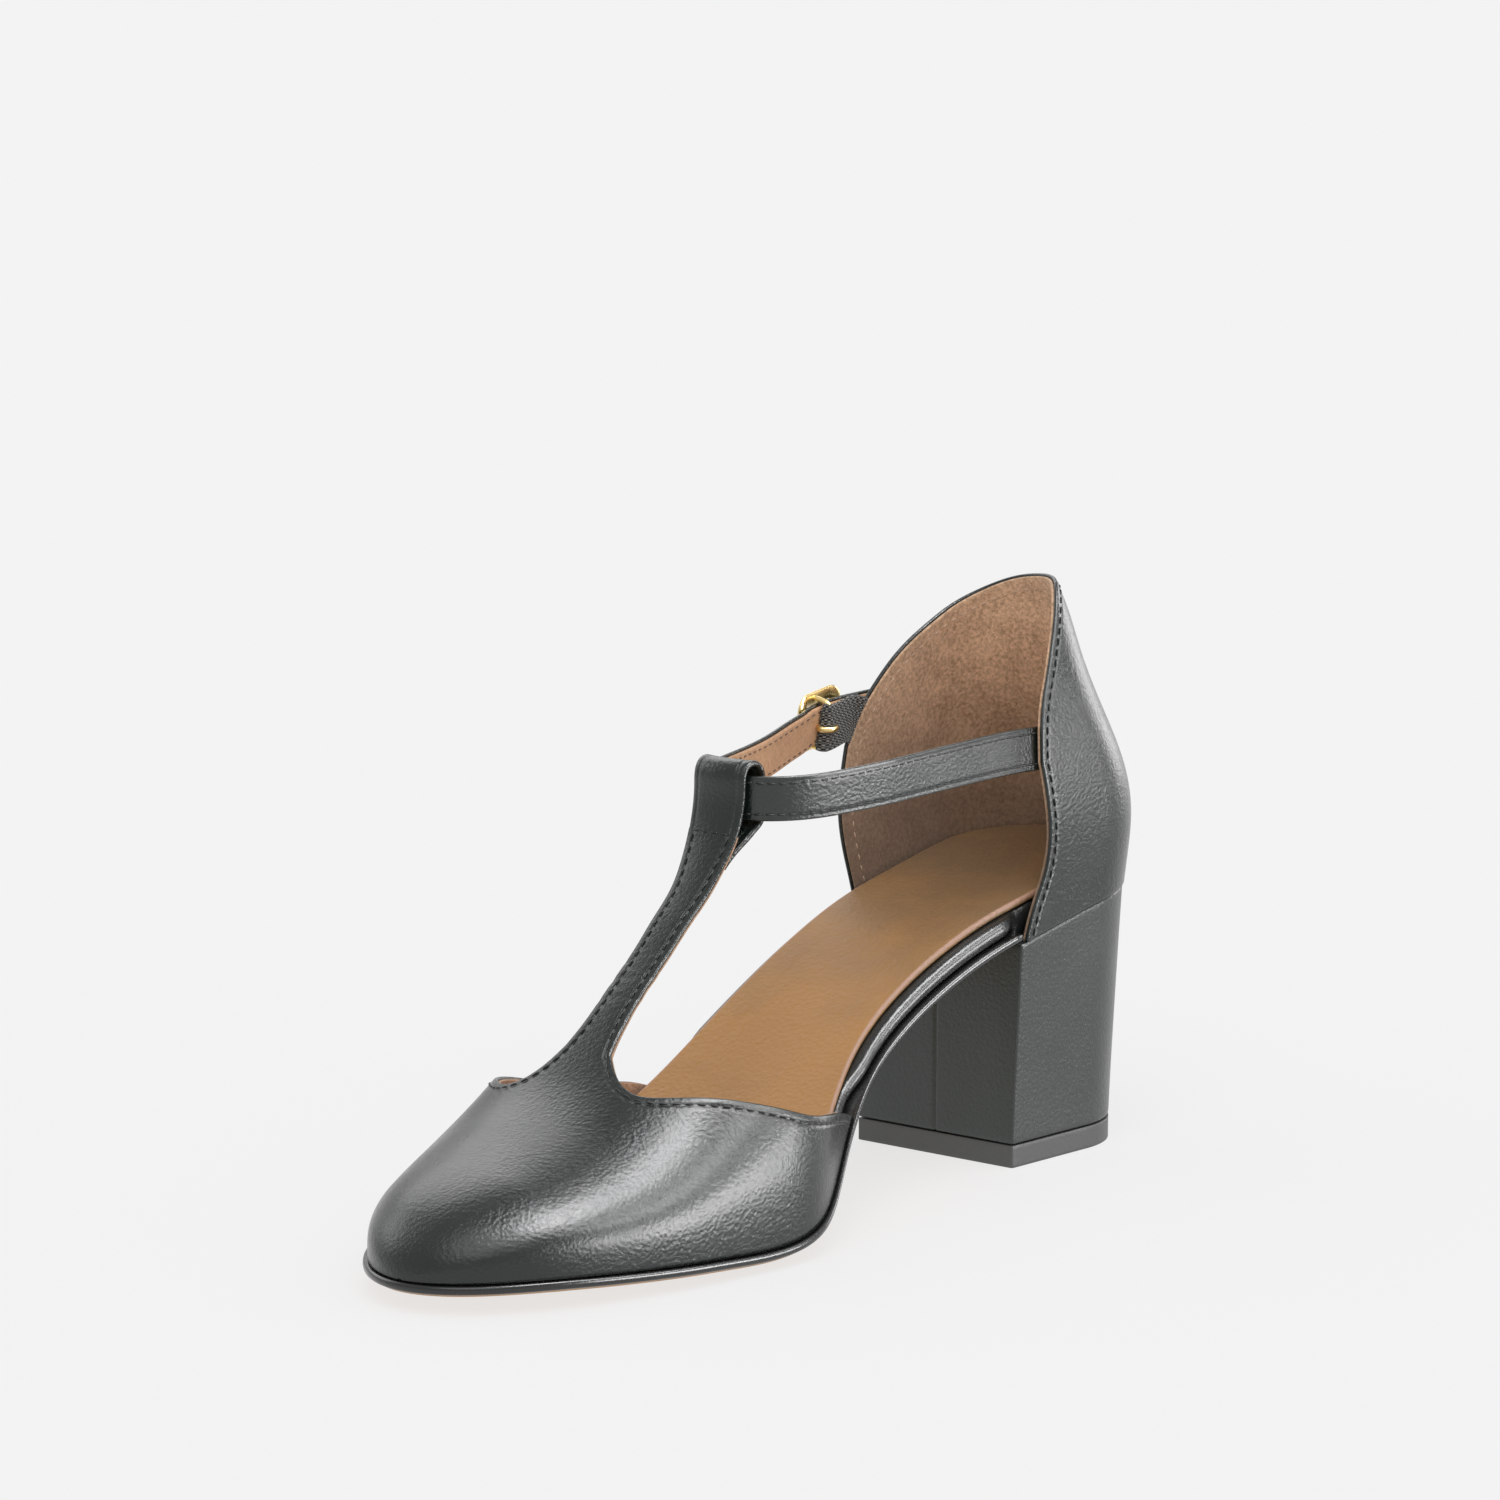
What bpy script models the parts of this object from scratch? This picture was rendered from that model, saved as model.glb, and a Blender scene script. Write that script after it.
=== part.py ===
# T-strap shoe with a block heel, right foot, built piece by piece from one last shape.
# Everything is in metres. The toe points to -Y, the inner (medial) side to +X, up is +Z.
# The floor is z = 0 and the origin is the middle of the heel's rest face.
import math
import bpy
import bmesh
import numpy as np

# Named sizes of the shoe
LENGTH = 0.242
BALL_WIDTH = 0.078
COLLAR_HEIGHT = 0.130
HEEL_REACH = 0.0310
UPPER_WALL = 0.0017
SEAM_GAP = 0.0003

# Named sizes of the bottom
OUTSOLE_THICK = 0.0024
TREAD_CAMBER = 0.0027
OUTSOLE_REACH = 0.0010
BOARD_THICK = 0.0038
SOCK_THICK = 0.0015
SOCK_INSET = 0.0036
SEAT_DROP = 0.0030
BREAST = 0.0557

# Named sizes of the heel
TOP_PIECE_THICK = 0.0051
HEEL_FOOT_HALF = 0.0226
HEEL_FOOT_BACK = 0.0052

# Named sizes of the straps
STRAP_THICK = 0.0020
STRAP_WIDTH = 0.0098
T_BAR_THICK = 0.0014
ELASTIC_THICK = 0.0016
ELASTIC_WIDTH = 0.0112

# Named sizes of the buckle
BUCKLE_HEIGHT = 0.0138
BUCKLE_LENGTH = 0.0150
BUCKLE_WIRE = 0.0019
BUCKLE_BAR = 0.0014
PRONG_WIRE = 0.0011
BUCKLE_ALONG = 0.0668
BUCKLE_SHIFT = 0.0018

# Sections of the insole from the back of the heel to the tip of the toe.
# along: share of LENGTH from the rearmost point, rise: height as a share of COLLAR_HEIGHT,
# welt: height of the outsole's top face, also a share of COLLAR_HEIGHT,
# centre and half: middle and half width of the last's edge as shares of BALL_WIDTH.
SOLE_COLUMNS = ("along", "rise", "welt", "centre", "half")
SOLE_LINE = (
    (0.0000, 0.5394, 0.4940, 0.0000, 0.3247),
    (0.0840, 0.5183, 0.4729, 0.0000, 0.3247),
    (0.1425, 0.4987, 0.4533, 0.0000, 0.3211),
    (0.2011, 0.4754, 0.4300, -0.0024, 0.3174),
    (0.2558, 0.4507, 0.4053, -0.0073, 0.3126),
    (0.3183, 0.4085, 0.3632, -0.0145, 0.3053),
    (0.3768, 0.3547, 0.3094, -0.0218, 0.3029),
    (0.4354, 0.2879, 0.2425, -0.0218, 0.3174),
    (0.4940, 0.2152, 0.1686, 0.0024, 0.3610),
    (0.5526, 0.1497, 0.0981, 0.0400, 0.4252),
    (0.6111, 0.1003, 0.0502, 0.0666, 0.4882),
    (0.6697, 0.0749, 0.0327, 0.0618, 0.5064),
    (0.7283, 0.0683, 0.0345, 0.0569, 0.4979),
    (0.7869, 0.0680, 0.0393, 0.0654, 0.4749),
    (0.8454, 0.0691, 0.0443, 0.0848, 0.4483),
    (0.9118, 0.0756, 0.0494, 0.1066, 0.4313),
    (1.0001, 0.0938, 0.0483, 0.1260, 0.4180),
)

# Top line of the last over toes and instep.
# along and rise as above, side: share of BALL_WIDTH, fullness: exponent of the section.
RIDGE_COLUMNS = ("along", "rise", "side", "fullness")
RIDGE_LINE = (
    (0.4823, 0.9304, 0.0485, 1.900),
    (0.5588, 0.6978, 0.0545, 1.900),
    (0.5826, 0.6215, 0.0545, 1.900),
    (0.6111, 0.5466, 0.0545, 1.900),
    (0.6502, 0.4768, 0.0545, 1.950),
    (0.6892, 0.4143, 0.0545, 2.000),
    (0.7166, 0.3678, 0.0545, 2.050),
    (0.7400, 0.3271, 0.0557, 2.100),
    (0.7673, 0.2879, 0.0606, 2.150),
    (0.8064, 0.2501, 0.0703, 2.200),
    (0.8493, 0.2224, 0.0824, 2.250),
    (0.8962, 0.1977, 0.0969, 2.300),
    (0.9431, 0.1832, 0.1115, 2.300),
    (1.0001, 0.1745, 0.1212, 2.300),
)

# Edge of the vamp, from its medial wing over the T-bar's root to its lateral wing.
# turn: share of the half turn from the medial edge over the top to the lateral edge.
THROAT_COLUMNS = ("along", "turn")
THROAT_LINE = (
    (0.4881, 0.0000),
    (0.5135, 0.0250),
    (0.5643, 0.0750),
    (0.6287, 0.1444),
    (0.6717, 0.1944),
    (0.7146, 0.2611),
    (0.7408, 0.3222),
    (0.7517, 0.3722),
    (0.7470, 0.4167),
    (0.7334, 0.4544),
    (0.7267, 0.4789),
    (0.7244, 0.5000),
    (0.7259, 0.5278),
    (0.7322, 0.5556),
    (0.7502, 0.5778),
    (0.7619, 0.6111),
    (0.7603, 0.6556),
    (0.7470, 0.7028),
    (0.7263, 0.7556),
    (0.6853, 0.8194),
    (0.6346, 0.8722),
    (0.5760, 0.9278),
    (0.5213, 0.9750),
    (0.4959, 1.0000),
)

# Sections of the heel cup from its foot to its top.
# rise: share of COLLAR_HEIGHT, back: how far the back curve lies from the rearmost point
# as a share of LENGTH, half: half width as a share of BALL_WIDTH.
CUP_COLUMNS = ("rise", "back", "half")
CUP_LINE = (
    (0.3489, 0.0152, 0.3162),
    (0.4361, 0.0105, 0.3211),
    (0.5088, 0.0047, 0.3271),
    (0.5743, 0.0008, 0.3295),
    (0.6542, 0.0078, 0.3211),
    (0.7269, 0.0258, 0.3041),
    (0.7996, 0.0473, 0.2787),
    (0.8723, 0.0644, 0.2459),
    (0.9450, 0.0769, 0.2072),
    (1.0177, 0.0957, 0.1720),
)

# Collar of the heel cup from its medial corner over the back to its lateral corner.
# turn: share of a half turn around the cup, medial positive, 0 at the back seam.
COLLAR_COLUMNS = ("turn", "rise")
COLLAR_LINE = (
    (0.7547, 0.7065),
    (0.7184, 0.7560),
    (0.6621, 0.8105),
    (0.5892, 0.8650),
    (0.4870, 0.9421),
    (0.3820, 0.9842),
    (0.2387, 1.0024),
    (0.0637, 1.0024),
    (-0.1070, 0.9929),
    (-0.3202, 0.9639),
    (-0.5634, 0.9159),
    (-0.7003, 0.8694),
    (-0.7815, 0.8207),
    (-0.8531, 0.7669),
    (-0.9072, 0.7065),
)

# Front edges of the heel cup below the collar's corners.
# climb: share of the way up from the sole to the corner.
FRONT_COLUMNS = ("turn", "climb")
MEDIAL_FRONT = (
    (0.8352, 0.000),
    (0.8117, 0.160),
    (0.7735, 0.360),
    (0.7592, 0.580),
    (0.7608, 0.780),
    (0.7547, 1.000),
)
LATERAL_FRONT = (
    (-0.8435, 0.000),
    (-0.8626, 0.160),
    (-0.8945, 0.360),
    (-0.9231, 0.580),
    (-0.9263, 0.780),
    (-0.9072, 1.000),
)

# Middle line of the T-bar from the vamp up, over the ankle strap and down behind it.
# half, crown_back and crown_down: half width and how far the edges bend back and down,
# as shares of BALL_WIDTH.
T_BAR_COLUMNS = ("along", "rise", "half", "crown_back", "crown_down")
T_BAR_LINE = (
    (0.7244, 0.3547, 0.0836, 0.0061, 0.0079),
    (0.7142, 0.3729, 0.0727, 0.0051, 0.0067),
    (0.7025, 0.3940, 0.0666, 0.0046, 0.0056),
    (0.6775, 0.4354, 0.0630, 0.0040, 0.0046),
    (0.6506, 0.4783, 0.0630, 0.0040, 0.0046),
    (0.6264, 0.5219, 0.0648, 0.0048, 0.0048),
    (0.6010, 0.5663, 0.0691, 0.0061, 0.0051),
    (0.5838, 0.6113, 0.0787, 0.0085, 0.0051),
    (0.5717, 0.6564, 0.0884, 0.0115, 0.0042),
    (0.5662, 0.6942, 0.0921, 0.0139, 0.0018),
    (0.5643, 0.7254, 0.0933, 0.0145, 0.0000),
    (0.5635, 0.7502, 0.0933, 0.0145, 0.0000),
    (0.5590, 0.7665, 0.0933, 0.0145, 0.0000),
    (0.5490, 0.7742, 0.0933, 0.0145, 0.0000),
    (0.5387, 0.7665, 0.0933, 0.0145, 0.0000),
    (0.5344, 0.7502, 0.0933, 0.0145, 0.0000),
    (0.5340, 0.7196, 0.0933, 0.0145, 0.0000),
    (0.5340, 0.6876, 0.0933, 0.0145, 0.0000),
    (0.5362, 0.6666, 0.0921, 0.0139, 0.0006),
    (0.5432, 0.6528, 0.0872, 0.0133, 0.0012),
    (0.5510, 0.6397, 0.0824, 0.0121, 0.0018),
    (0.5604, 0.6222, 0.0739, 0.0103, 0.0030),
    (0.5709, 0.5961, 0.0630, 0.0085, 0.0036),
)

# Middle line of the ankle strap from inside the medial cup to its tail outside the lateral cup.
STRAP_COLUMNS = ("side", "along", "rise", "lean")
# lean: how far its upper edge leans to +X over its height.
STRAP_LINE = (
    (0.2623, 0.1464, 0.7240, -0.190),
    (0.2629, 0.1777, 0.7254, -0.190),
    (0.2641, 0.2031, 0.7269, -0.180),
    (0.2738, 0.2402, 0.7291, -0.150),
    (0.2859, 0.2870, 0.7291, -0.100),
    (0.2932, 0.3417, 0.7269, -0.050),
    (0.2908, 0.3964, 0.7225, -0.020),
    (0.2762, 0.4471, 0.7175, 0.000),
    (0.2472, 0.4920, 0.7131, 0.000),
    (0.2023, 0.5248, 0.7116, 0.000),
    (0.1454, 0.5424, 0.7116, 0.000),
    (0.0957, 0.5470, 0.7116, 0.000),
    (0.0472, 0.5483, 0.7116, 0.000),
    (-0.0012, 0.5470, 0.7116, 0.000),
    (-0.0485, 0.5424, 0.7116, 0.000),
    (-0.0957, 0.5291, 0.7116, 0.000),
    (-0.1405, 0.5026, 0.7087, 0.000),
    (-0.1866, 0.4647, 0.7065, 0.020),
    (-0.2278, 0.4217, 0.7087, 0.040),
    (-0.2641, 0.3749, 0.7167, 0.070),
    (-0.2932, 0.3339, 0.7305, 0.110),
    (-0.3114, 0.3026, 0.7429, 0.150),
    (-0.3198, 0.2792, 0.7523, 0.180),
    (-0.3211, 0.2480, 0.7574, 0.190),
    (-0.3162, 0.2206, 0.7603, 0.190),
    (-0.3138, 0.1894, 0.7618, 0.190),
)

# Middle line of the elastic gore from inside the lateral cup to the buckle's bar, same columns.
ELASTIC_LINE = (
    (-0.2490, 0.2089, 0.7589, 0.230),
    (-0.2526, 0.2284, 0.7571, 0.225),
    (-0.2599, 0.2460, 0.7553, 0.205),
    (-0.2750, 0.2597, 0.7531, 0.190),
    (-0.2890, 0.2718, 0.7520, 0.180),
)


def column(rows, names, name):
    """One named column of a table as an array."""
    return np.array([row[names.index(name)] for row in rows], float)


def spline(at, knots, values):
    """Natural cubic spline through (knots, values), read at the places in at."""
    at = np.asarray(at, float)
    count = len(knots)
    step = np.diff(knots)
    matrix = np.zeros((count, count))
    right = np.zeros(count)
    matrix[0, 0] = 1.0
    matrix[-1, -1] = 1.0
    for i in range(1, count - 1):
        matrix[i, i - 1] = step[i - 1]
        matrix[i, i] = 2.0 * (step[i - 1] + step[i])
        matrix[i, i + 1] = step[i]
        right[i] = 6.0 * ((values[i + 1] - values[i]) / step[i] - (values[i] - values[i - 1]) / step[i - 1])
    bend = np.linalg.solve(matrix, right)
    inside = np.clip(at, knots[0], knots[-1])
    i = np.clip(np.searchsorted(knots, inside, side="right") - 1, 0, count - 2)
    t = inside - knots[i]
    back = knots[i + 1] - inside
    h = step[i]
    curve = (bend[i] * back ** 3 + bend[i + 1] * t ** 3) / (6.0 * h)
    line = (values[i] / h - bend[i] * h / 6.0) * back + (values[i + 1] / h - bend[i + 1] * h / 6.0) * t
    return curve + line


def round_end(distance, reach, power):
    """1 inside, falling to 0 at the end like a superellipse of the given reach."""
    q = np.clip(1.0 - np.asarray(distance, float) / reach, 0.0, 1.0)
    return (1.0 - q ** power) ** (1.0 / power)


SOLE_ALONG = column(SOLE_LINE, SOLE_COLUMNS, "along") * LENGTH
SOLE_RISE = column(SOLE_LINE, SOLE_COLUMNS, "rise") * COLLAR_HEIGHT
SOLE_WELT = column(SOLE_LINE, SOLE_COLUMNS, "welt") * COLLAR_HEIGHT
SOLE_CENTRE = column(SOLE_LINE, SOLE_COLUMNS, "centre") * BALL_WIDTH
SOLE_HALF = column(SOLE_LINE, SOLE_COLUMNS, "half") * BALL_WIDTH
RIDGE_ALONG = column(RIDGE_LINE, RIDGE_COLUMNS, "along") * LENGTH
RIDGE_RISE = column(RIDGE_LINE, RIDGE_COLUMNS, "rise") * COLLAR_HEIGHT
RIDGE_SIDE = column(RIDGE_LINE, RIDGE_COLUMNS, "side") * BALL_WIDTH
RIDGE_FULL = column(RIDGE_LINE, RIDGE_COLUMNS, "fullness")
CUP_RISE = column(CUP_LINE, CUP_COLUMNS, "rise") * COLLAR_HEIGHT
CUP_BACK = column(CUP_LINE, CUP_COLUMNS, "back") * LENGTH
CUP_HALF = column(CUP_LINE, CUP_COLUMNS, "half") * BALL_WIDTH

# Where the last's edge starts and ends, and the reach of its round ends
EDGE_BACK = 0.0098 * LENGTH
EDGE_TIP = 0.9957 * LENGTH
HEEL_ROUND = 0.105 * LENGTH
TOE_ROUND = 0.242 * LENGTH
BOX_ROUND = 0.102 * LENGTH
SIDE_BULGE = 0.020 * BALL_WIDTH


def smooth_step(t):
    """0 to 1 with level ends."""
    t = np.clip(t, 0.0, 1.0)
    return t * t * (3.0 - 2.0 * t)


def sock_rise(a):
    """Height of the sock's top face at the distance a from the rearmost point."""
    return spline(a, SOLE_ALONG, SOLE_RISE)


def edge_centre(a):
    """Middle of the last's edge."""
    return spline(a, SOLE_ALONG, SOLE_CENTRE)


def edge_half(a):
    """Half width of the last's edge, closed round at heel and toe."""
    open_half = spline(a, SOLE_ALONG, SOLE_HALF)
    toe = round_end(EDGE_TIP - a, TOE_ROUND, 1.95)
    heel = round_end(a - EDGE_BACK, HEEL_ROUND, 2.0)
    return open_half * toe * heel


def outsole_top(a):
    """Height of the outsole's top face."""
    return spline(a, SOLE_ALONG, SOLE_WELT)


def outsole_foot(a, inward):
    """Height of the outsole's underside: inward 0 at its edge, 1 in the middle, flat on the floor there."""
    a = np.asarray(a, float)
    edge = outsole_top(a) - OUTSOLE_THICK
    fore = smooth_step((a - 0.49 * LENGTH) / (0.10 * LENGTH)) * smooth_step((EDGE_TIP - a) / (0.12 * LENGTH))
    return np.maximum(edge - TREAD_CAMBER * fore * inward, 0.0)


def seat_rise(a):
    """Height of the heel block's top face, which carries the seat."""
    return outsole_top(a) - SEAT_DROP


def last_top(a, turn):
    """Outer face of the vamp: turn 0 at the medial edge, 1 at the lateral edge.

    A half superellipse in each section: x = side + reach |cos|^(2/n), z = foot + H sin^(2/n),
    pushed out by a soft bulge just above the edge.
    """
    a = np.asarray(a, float)
    angle = np.pi * np.asarray(turn, float)
    foot = outsole_top(a) + SEAM_GAP
    top = spline(a, RIDGE_ALONG, RIDGE_RISE)
    height = (top - foot) * round_end(EDGE_TIP - a, BOX_ROUND, 2.0)
    side = spline(a, RIDGE_ALONG, RIDGE_SIDE)
    n = spline(a, RIDGE_ALONG, RIDGE_FULL)
    centre = edge_centre(a)
    half = edge_half(a)
    cosine = np.cos(angle)
    sine = np.clip(np.sin(angle), 0.0, 1.0)
    reach = np.where(cosine >= 0.0, centre + half - side, side - centre + half)
    x = side + np.sign(cosine) * reach * np.abs(cosine) ** (2.0 / n)
    bulge = SIDE_BULGE * round_end(EDGE_TIP - a, TOE_ROUND * 0.5, 2.0)
    low = np.exp(-((sine - 0.35) / 0.28) ** 2) * np.sign(cosine) * np.sqrt(sine)
    z = foot + height * sine ** (2.0 / n)
    return np.stack([x + bulge * low, HEEL_REACH - a + 0.0 * x, z], -1)


def cup_face(turn, z):
    """Outer face of the heel cup: a round back and straight sides in each level section."""
    angle = np.pi * np.asarray(turn, float)
    half = spline(z, CUP_RISE, CUP_HALF)
    back = spline(z, CUP_RISE, CUP_BACK)
    bent = np.clip(np.abs(angle), 0.0, 0.5 * np.pi)
    run = np.abs(angle) - bent
    x = half * np.sin(bent) * np.sign(angle)
    a = back + half * (1.0 - np.cos(bent)) + half * run
    return np.stack([x, HEEL_REACH - a, np.asarray(z, float) + 0.0 * x], -1)


def cup_foot(turn):
    """Height of the cup's lower edge, which follows the seat."""
    z = np.full(np.shape(turn), 0.42 * COLLAR_HEIGHT)
    for _ in range(6):
        a = HEEL_REACH - cup_face(turn, z)[..., 1]
        z = seat_rise(a) + SEAM_GAP
    return z


def along_path(points, count):
    """Points evenly spaced on a smooth curve through the given points."""
    points = np.asarray(points, float)
    reach = np.concatenate([[0.0], np.cumsum(np.linalg.norm(np.diff(points, axis=0), axis=1))])
    fine = np.linspace(0.0, reach[-1], 40 * len(points))
    curve = np.stack([spline(fine, reach, points[:, k]) for k in range(points.shape[1])], -1)
    walk = np.concatenate([[0.0], np.cumsum(np.linalg.norm(np.diff(curve[:, :3], axis=0), axis=1))])
    at = np.interp(np.linspace(0.0, walk[-1], count), walk, fine)
    return np.stack([spline(at, reach, points[:, k]) for k in range(points.shape[1])], -1)


def grid_faces(rows, columns, closed=False):
    """Quads of a grid of vertices, row by row."""
    faces = []
    last = columns if closed else columns - 1
    for i in range(rows - 1):
        for j in range(last):
            k = (j + 1) % columns
            faces.append((i * columns + j, i * columns + k, (i + 1) * columns + k, (i + 1) * columns + j))
    return faces


def face_normals(points, faces):
    """Area-weighted normal at each vertex of a sheet."""
    normals = np.zeros_like(points)
    for face in faces:
        corner = points[list(face)]
        n = np.cross(corner[2] - corner[0], corner[3] - corner[1])
        for index in face:
            normals[index] += n
    size = np.linalg.norm(normals, axis=1, keepdims=True)
    return normals / np.maximum(size, 1e-12)


def paint(name, colour, rough, metal=0.0):
    """A plain material."""
    material = bpy.data.materials.new(name)
    material.use_nodes = True
    shader = material.node_tree.nodes["Principled BSDF"]
    shader.inputs["Base Color"].default_value = (*colour, 1.0)
    shader.inputs["Roughness"].default_value = rough
    shader.inputs["Metallic"].default_value = metal
    material.diffuse_color = (*colour, 1.0)
    return material


def add_solid(name, points, faces, material):
    """A closed mesh object with welded vertices and normals that face out."""
    mesh = bpy.data.meshes.new(name)
    bm = bmesh.new()
    verts = [bm.verts.new(p) for p in np.asarray(points, float)]
    for face in faces:
        ring = []
        for index in face:
            if index not in ring:
                ring.append(index)
        if len(ring) >= 3:
            bm.faces.new([verts[index] for index in ring])
    bmesh.ops.remove_doubles(bm, verts=bm.verts, dist=2e-6)
    bmesh.ops.triangulate(bm, faces=[f for f in bm.faces if len(f.verts) > 4])
    loose = [v for v in bm.verts if not v.link_faces]
    bmesh.ops.delete(bm, geom=loose, context="VERTS")
    bmesh.ops.recalc_face_normals(bm, faces=bm.faces)
    if bm.calc_volume(signed=True) < 0.0:
        bmesh.ops.reverse_faces(bm, faces=bm.faces)
    bm.to_mesh(mesh)
    bm.free()
    item = bpy.data.objects.new(name, mesh)
    bpy.context.scene.collection.objects.link(item)
    item.data.materials.append(material)
    return item


def thick_sheet(name, outer, inner, faces, material):
    """A solid between two matching sheets, closed by a rim along their open edge."""
    count = len(outer)
    edges = {}
    for face in faces:
        for k in range(len(face)):
            edge = (face[k], face[(k + 1) % len(face)])
            edges[edge] = edges.get(edge, 0) + 1
    solid = [tuple(face) for face in faces]
    solid += [tuple(index + count for index in reversed(face)) for face in faces]
    for start, end in edges:
        if (end, start) not in edges and start != end:
            solid.append((end, start, start + count, end + count))
    return add_solid(name, np.concatenate([outer, inner]), solid, material)


def offset_edge(a, grow):
    """Medial and lateral edge of the last in plan, moved out by grow along its normal."""
    a = np.asarray(a, float)
    centre = edge_centre(a)
    half = edge_half(a)
    sides = []
    for sign in (1.0, -1.0):
        x = centre + sign * half
        y = HEEL_REACH - a
        dx = np.gradient(x, edge_order=2)
        dy = np.gradient(y, edge_order=2)
        if half[-1] < 1e-5:
            dx[-1], dy[-1] = -sign, 0.0
        if half[0] < 1e-5:
            dx[0], dy[0] = sign, 0.0
        size = np.hypot(dx, dy)
        nx, ny = -dy / size * sign, dx / size * sign
        sides.append(np.stack([x + nx * grow, y + ny * grow], -1))
    return sides


def walk_stations(start, end, count, round_start, round_end_):
    """Stations along the shoe, closer together at the round ends."""
    t = np.linspace(0.0, 1.0, count)
    if round_start and round_end_:
        t = 0.5 - 0.5 * np.cos(np.pi * t)
    elif round_end_:
        t = np.sin(0.5 * np.pi * t)
    elif round_start:
        t = 1.0 - np.cos(0.5 * np.pi * t)
    return start + (end - start) * t


def band_rings(sides, profile):
    """Rings of a flat piece: the medial profile down and the lateral profile up again.

    profile is a list of (grow, height) pairs, from the top inner point to the bottom inner point.
    """
    medial = []
    lateral = []
    for grow, height in profile:
        inner, outer = sides(grow)
        medial.append(np.column_stack([inner, height(inner)]))
        lateral.append(np.column_stack([outer, height(outer)]))
    return np.stack(medial + lateral[::-1], 1)


def ring_solid(name, rings, material, open_start, open_end):
    """A solid from matching closed rings, with caps at the ends that don't close by themselves."""
    rows, columns = rings.shape[:2]
    faces = grid_faces(rows, columns, closed=True)
    half = columns // 2
    for row, needed in ((0, open_start), (rows - 1, open_end)):
        if needed:
            for k in range(half - 1):
                base = row * columns
                faces.append((base + k, base + k + 1, base + columns - 2 - k, base + columns - 1 - k))
    return add_solid(name, rings.reshape(-1, 3), faces, material)


def build_outsole(material):
    """The outsole: its edge stands clear of the floor, its cambered tread is flat under the ball."""
    a = walk_stations(BREAST + 0.0005, EDGE_TIP, 40, False, True)

    def sides(grow):
        return offset_edge(a, grow)

    def level(share):
        def height(points):
            at = HEEL_REACH - points[:, 1]
            top = outsole_top(at)
            return top + (outsole_foot(at, 0.0) - top) * share
        return height

    reach = OUTSOLE_REACH
    profile = [
        (-0.0030, level(0.0)),
        (reach - 0.0004, level(0.0)),
        (reach, level(0.16)),
        (reach, level(0.56)),
        (reach - 0.0004, level(0.74)),
        (reach - 0.0011, level(0.80)),
        (reach - 0.0016, level(1.0)),
        (-0.0020, level(1.0)),
    ]
    rings = band_rings(sides, profile)
    edge = len(profile)
    medial, lateral = rings[:, edge - 1], rings[:, edge]
    tread = []
    for share, inward in ((0.10, 0.55), (0.27, 1.0), (0.73, 1.0), (0.90, 0.55)):
        point = medial + (lateral - medial) * share
        point[:, 2] = outsole_foot(HEEL_REACH - point[:, 1], inward)
        tread.append(point)
    rings = np.concatenate([rings[:, :edge], np.stack(tread, 1), rings[:, edge:]], 1)
    return ring_solid("outsole", rings, material, True, False)


def build_board(material):
    """The wrapped insole board with its thicker heel seat, full width only at the open waist."""
    heel = walk_stations(EDGE_BACK, BREAST - 0.0008, 14, True, False)
    fore = walk_stations(BREAST - 0.0002, EDGE_TIP, 44, False, True)
    a = np.concatenate([heel, fore])
    medial_show = smooth_step((a - 0.0550) / 0.0050) * smooth_step((0.1150 - a) / 0.0070)
    lateral_show = smooth_step((a - 0.0600) / 0.0050) * smooth_step((0.1150 - a) / 0.0070)
    tuck = UPPER_WALL + SEAM_GAP + 0.0004

    def sides(grow):
        medial = offset_edge(a, grow - tuck + (tuck - 0.0005) * medial_show)[0]
        lateral = offset_edge(a, grow - tuck + (tuck - 0.0005) * lateral_show)[1]
        return medial, lateral

    def level(share):
        def height(points):
            at = HEEL_REACH - points[:, 1]
            top = sock_rise(at) - SOCK_THICK - SEAM_GAP
            seat = seat_rise(at) + SEAM_GAP
            waist = outsole_top(at) + SEAM_GAP
            foot = np.where(a < BREAST - 0.0005, seat, waist)
            return top + (foot - top) * share
        return height

    profile = [
        (-0.0034, level(0.0)),
        (-0.0015, level(0.05)),
        (-0.0004, level(0.26)),
        (0.0, level(0.55)),
        (-0.0003, level(0.88)),
        (-0.0010, level(1.0)),
    ]
    return ring_solid("insole_board", band_rings(sides, profile), material, False, False)


def build_sock(material):
    """The padded sock that lies on the board, inset from its edge."""
    a = walk_stations(EDGE_BACK, EDGE_TIP, 46, True, True)

    def sides(grow):
        return offset_edge(a, grow - SOCK_INSET)

    def level(share):
        def height(points):
            at = HEEL_REACH - points[:, 1]
            return sock_rise(at) - SOCK_THICK * share
        return height

    profile = [(-0.0012, level(0.0)), (-0.0003, level(0.12)), (0.0, level(0.4)), (0.0, level(1.0))]
    return ring_solid("insole_sock", band_rings(sides, profile), material, False, False)


def throat_nodes():
    """Places on the vamp's edge: along and turn, with the T-bar's root in the middle."""
    rows = np.array(THROAT_LINE, float)
    root = [index for index, row in enumerate(rows) if 0.43 <= row[1] <= 0.57]
    first, final = root[0], root[-1]
    weight = np.array([LENGTH, 0.110])

    def run(part, count):
        scaled = part * weight
        reach = np.concatenate([[0.0], np.cumsum(np.linalg.norm(np.diff(scaled, axis=0), axis=1))])
        at = np.linspace(0.0, reach[-1], count)
        return np.column_stack([spline(at, reach, part[:, 0]), spline(at, reach, part[:, 1])])

    medial = run(rows[:first + 1], 15)
    lateral = run(rows[final:], 15)
    nodes = np.concatenate([medial[:-1], rows[first:final + 1], lateral[1:]])
    nodes[:, 0] *= LENGTH
    nodes[:, 1] = np.clip(nodes[:, 1], 0.0, 1.0)
    start = len(medial) - 1
    return nodes, start, start + final - first


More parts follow.
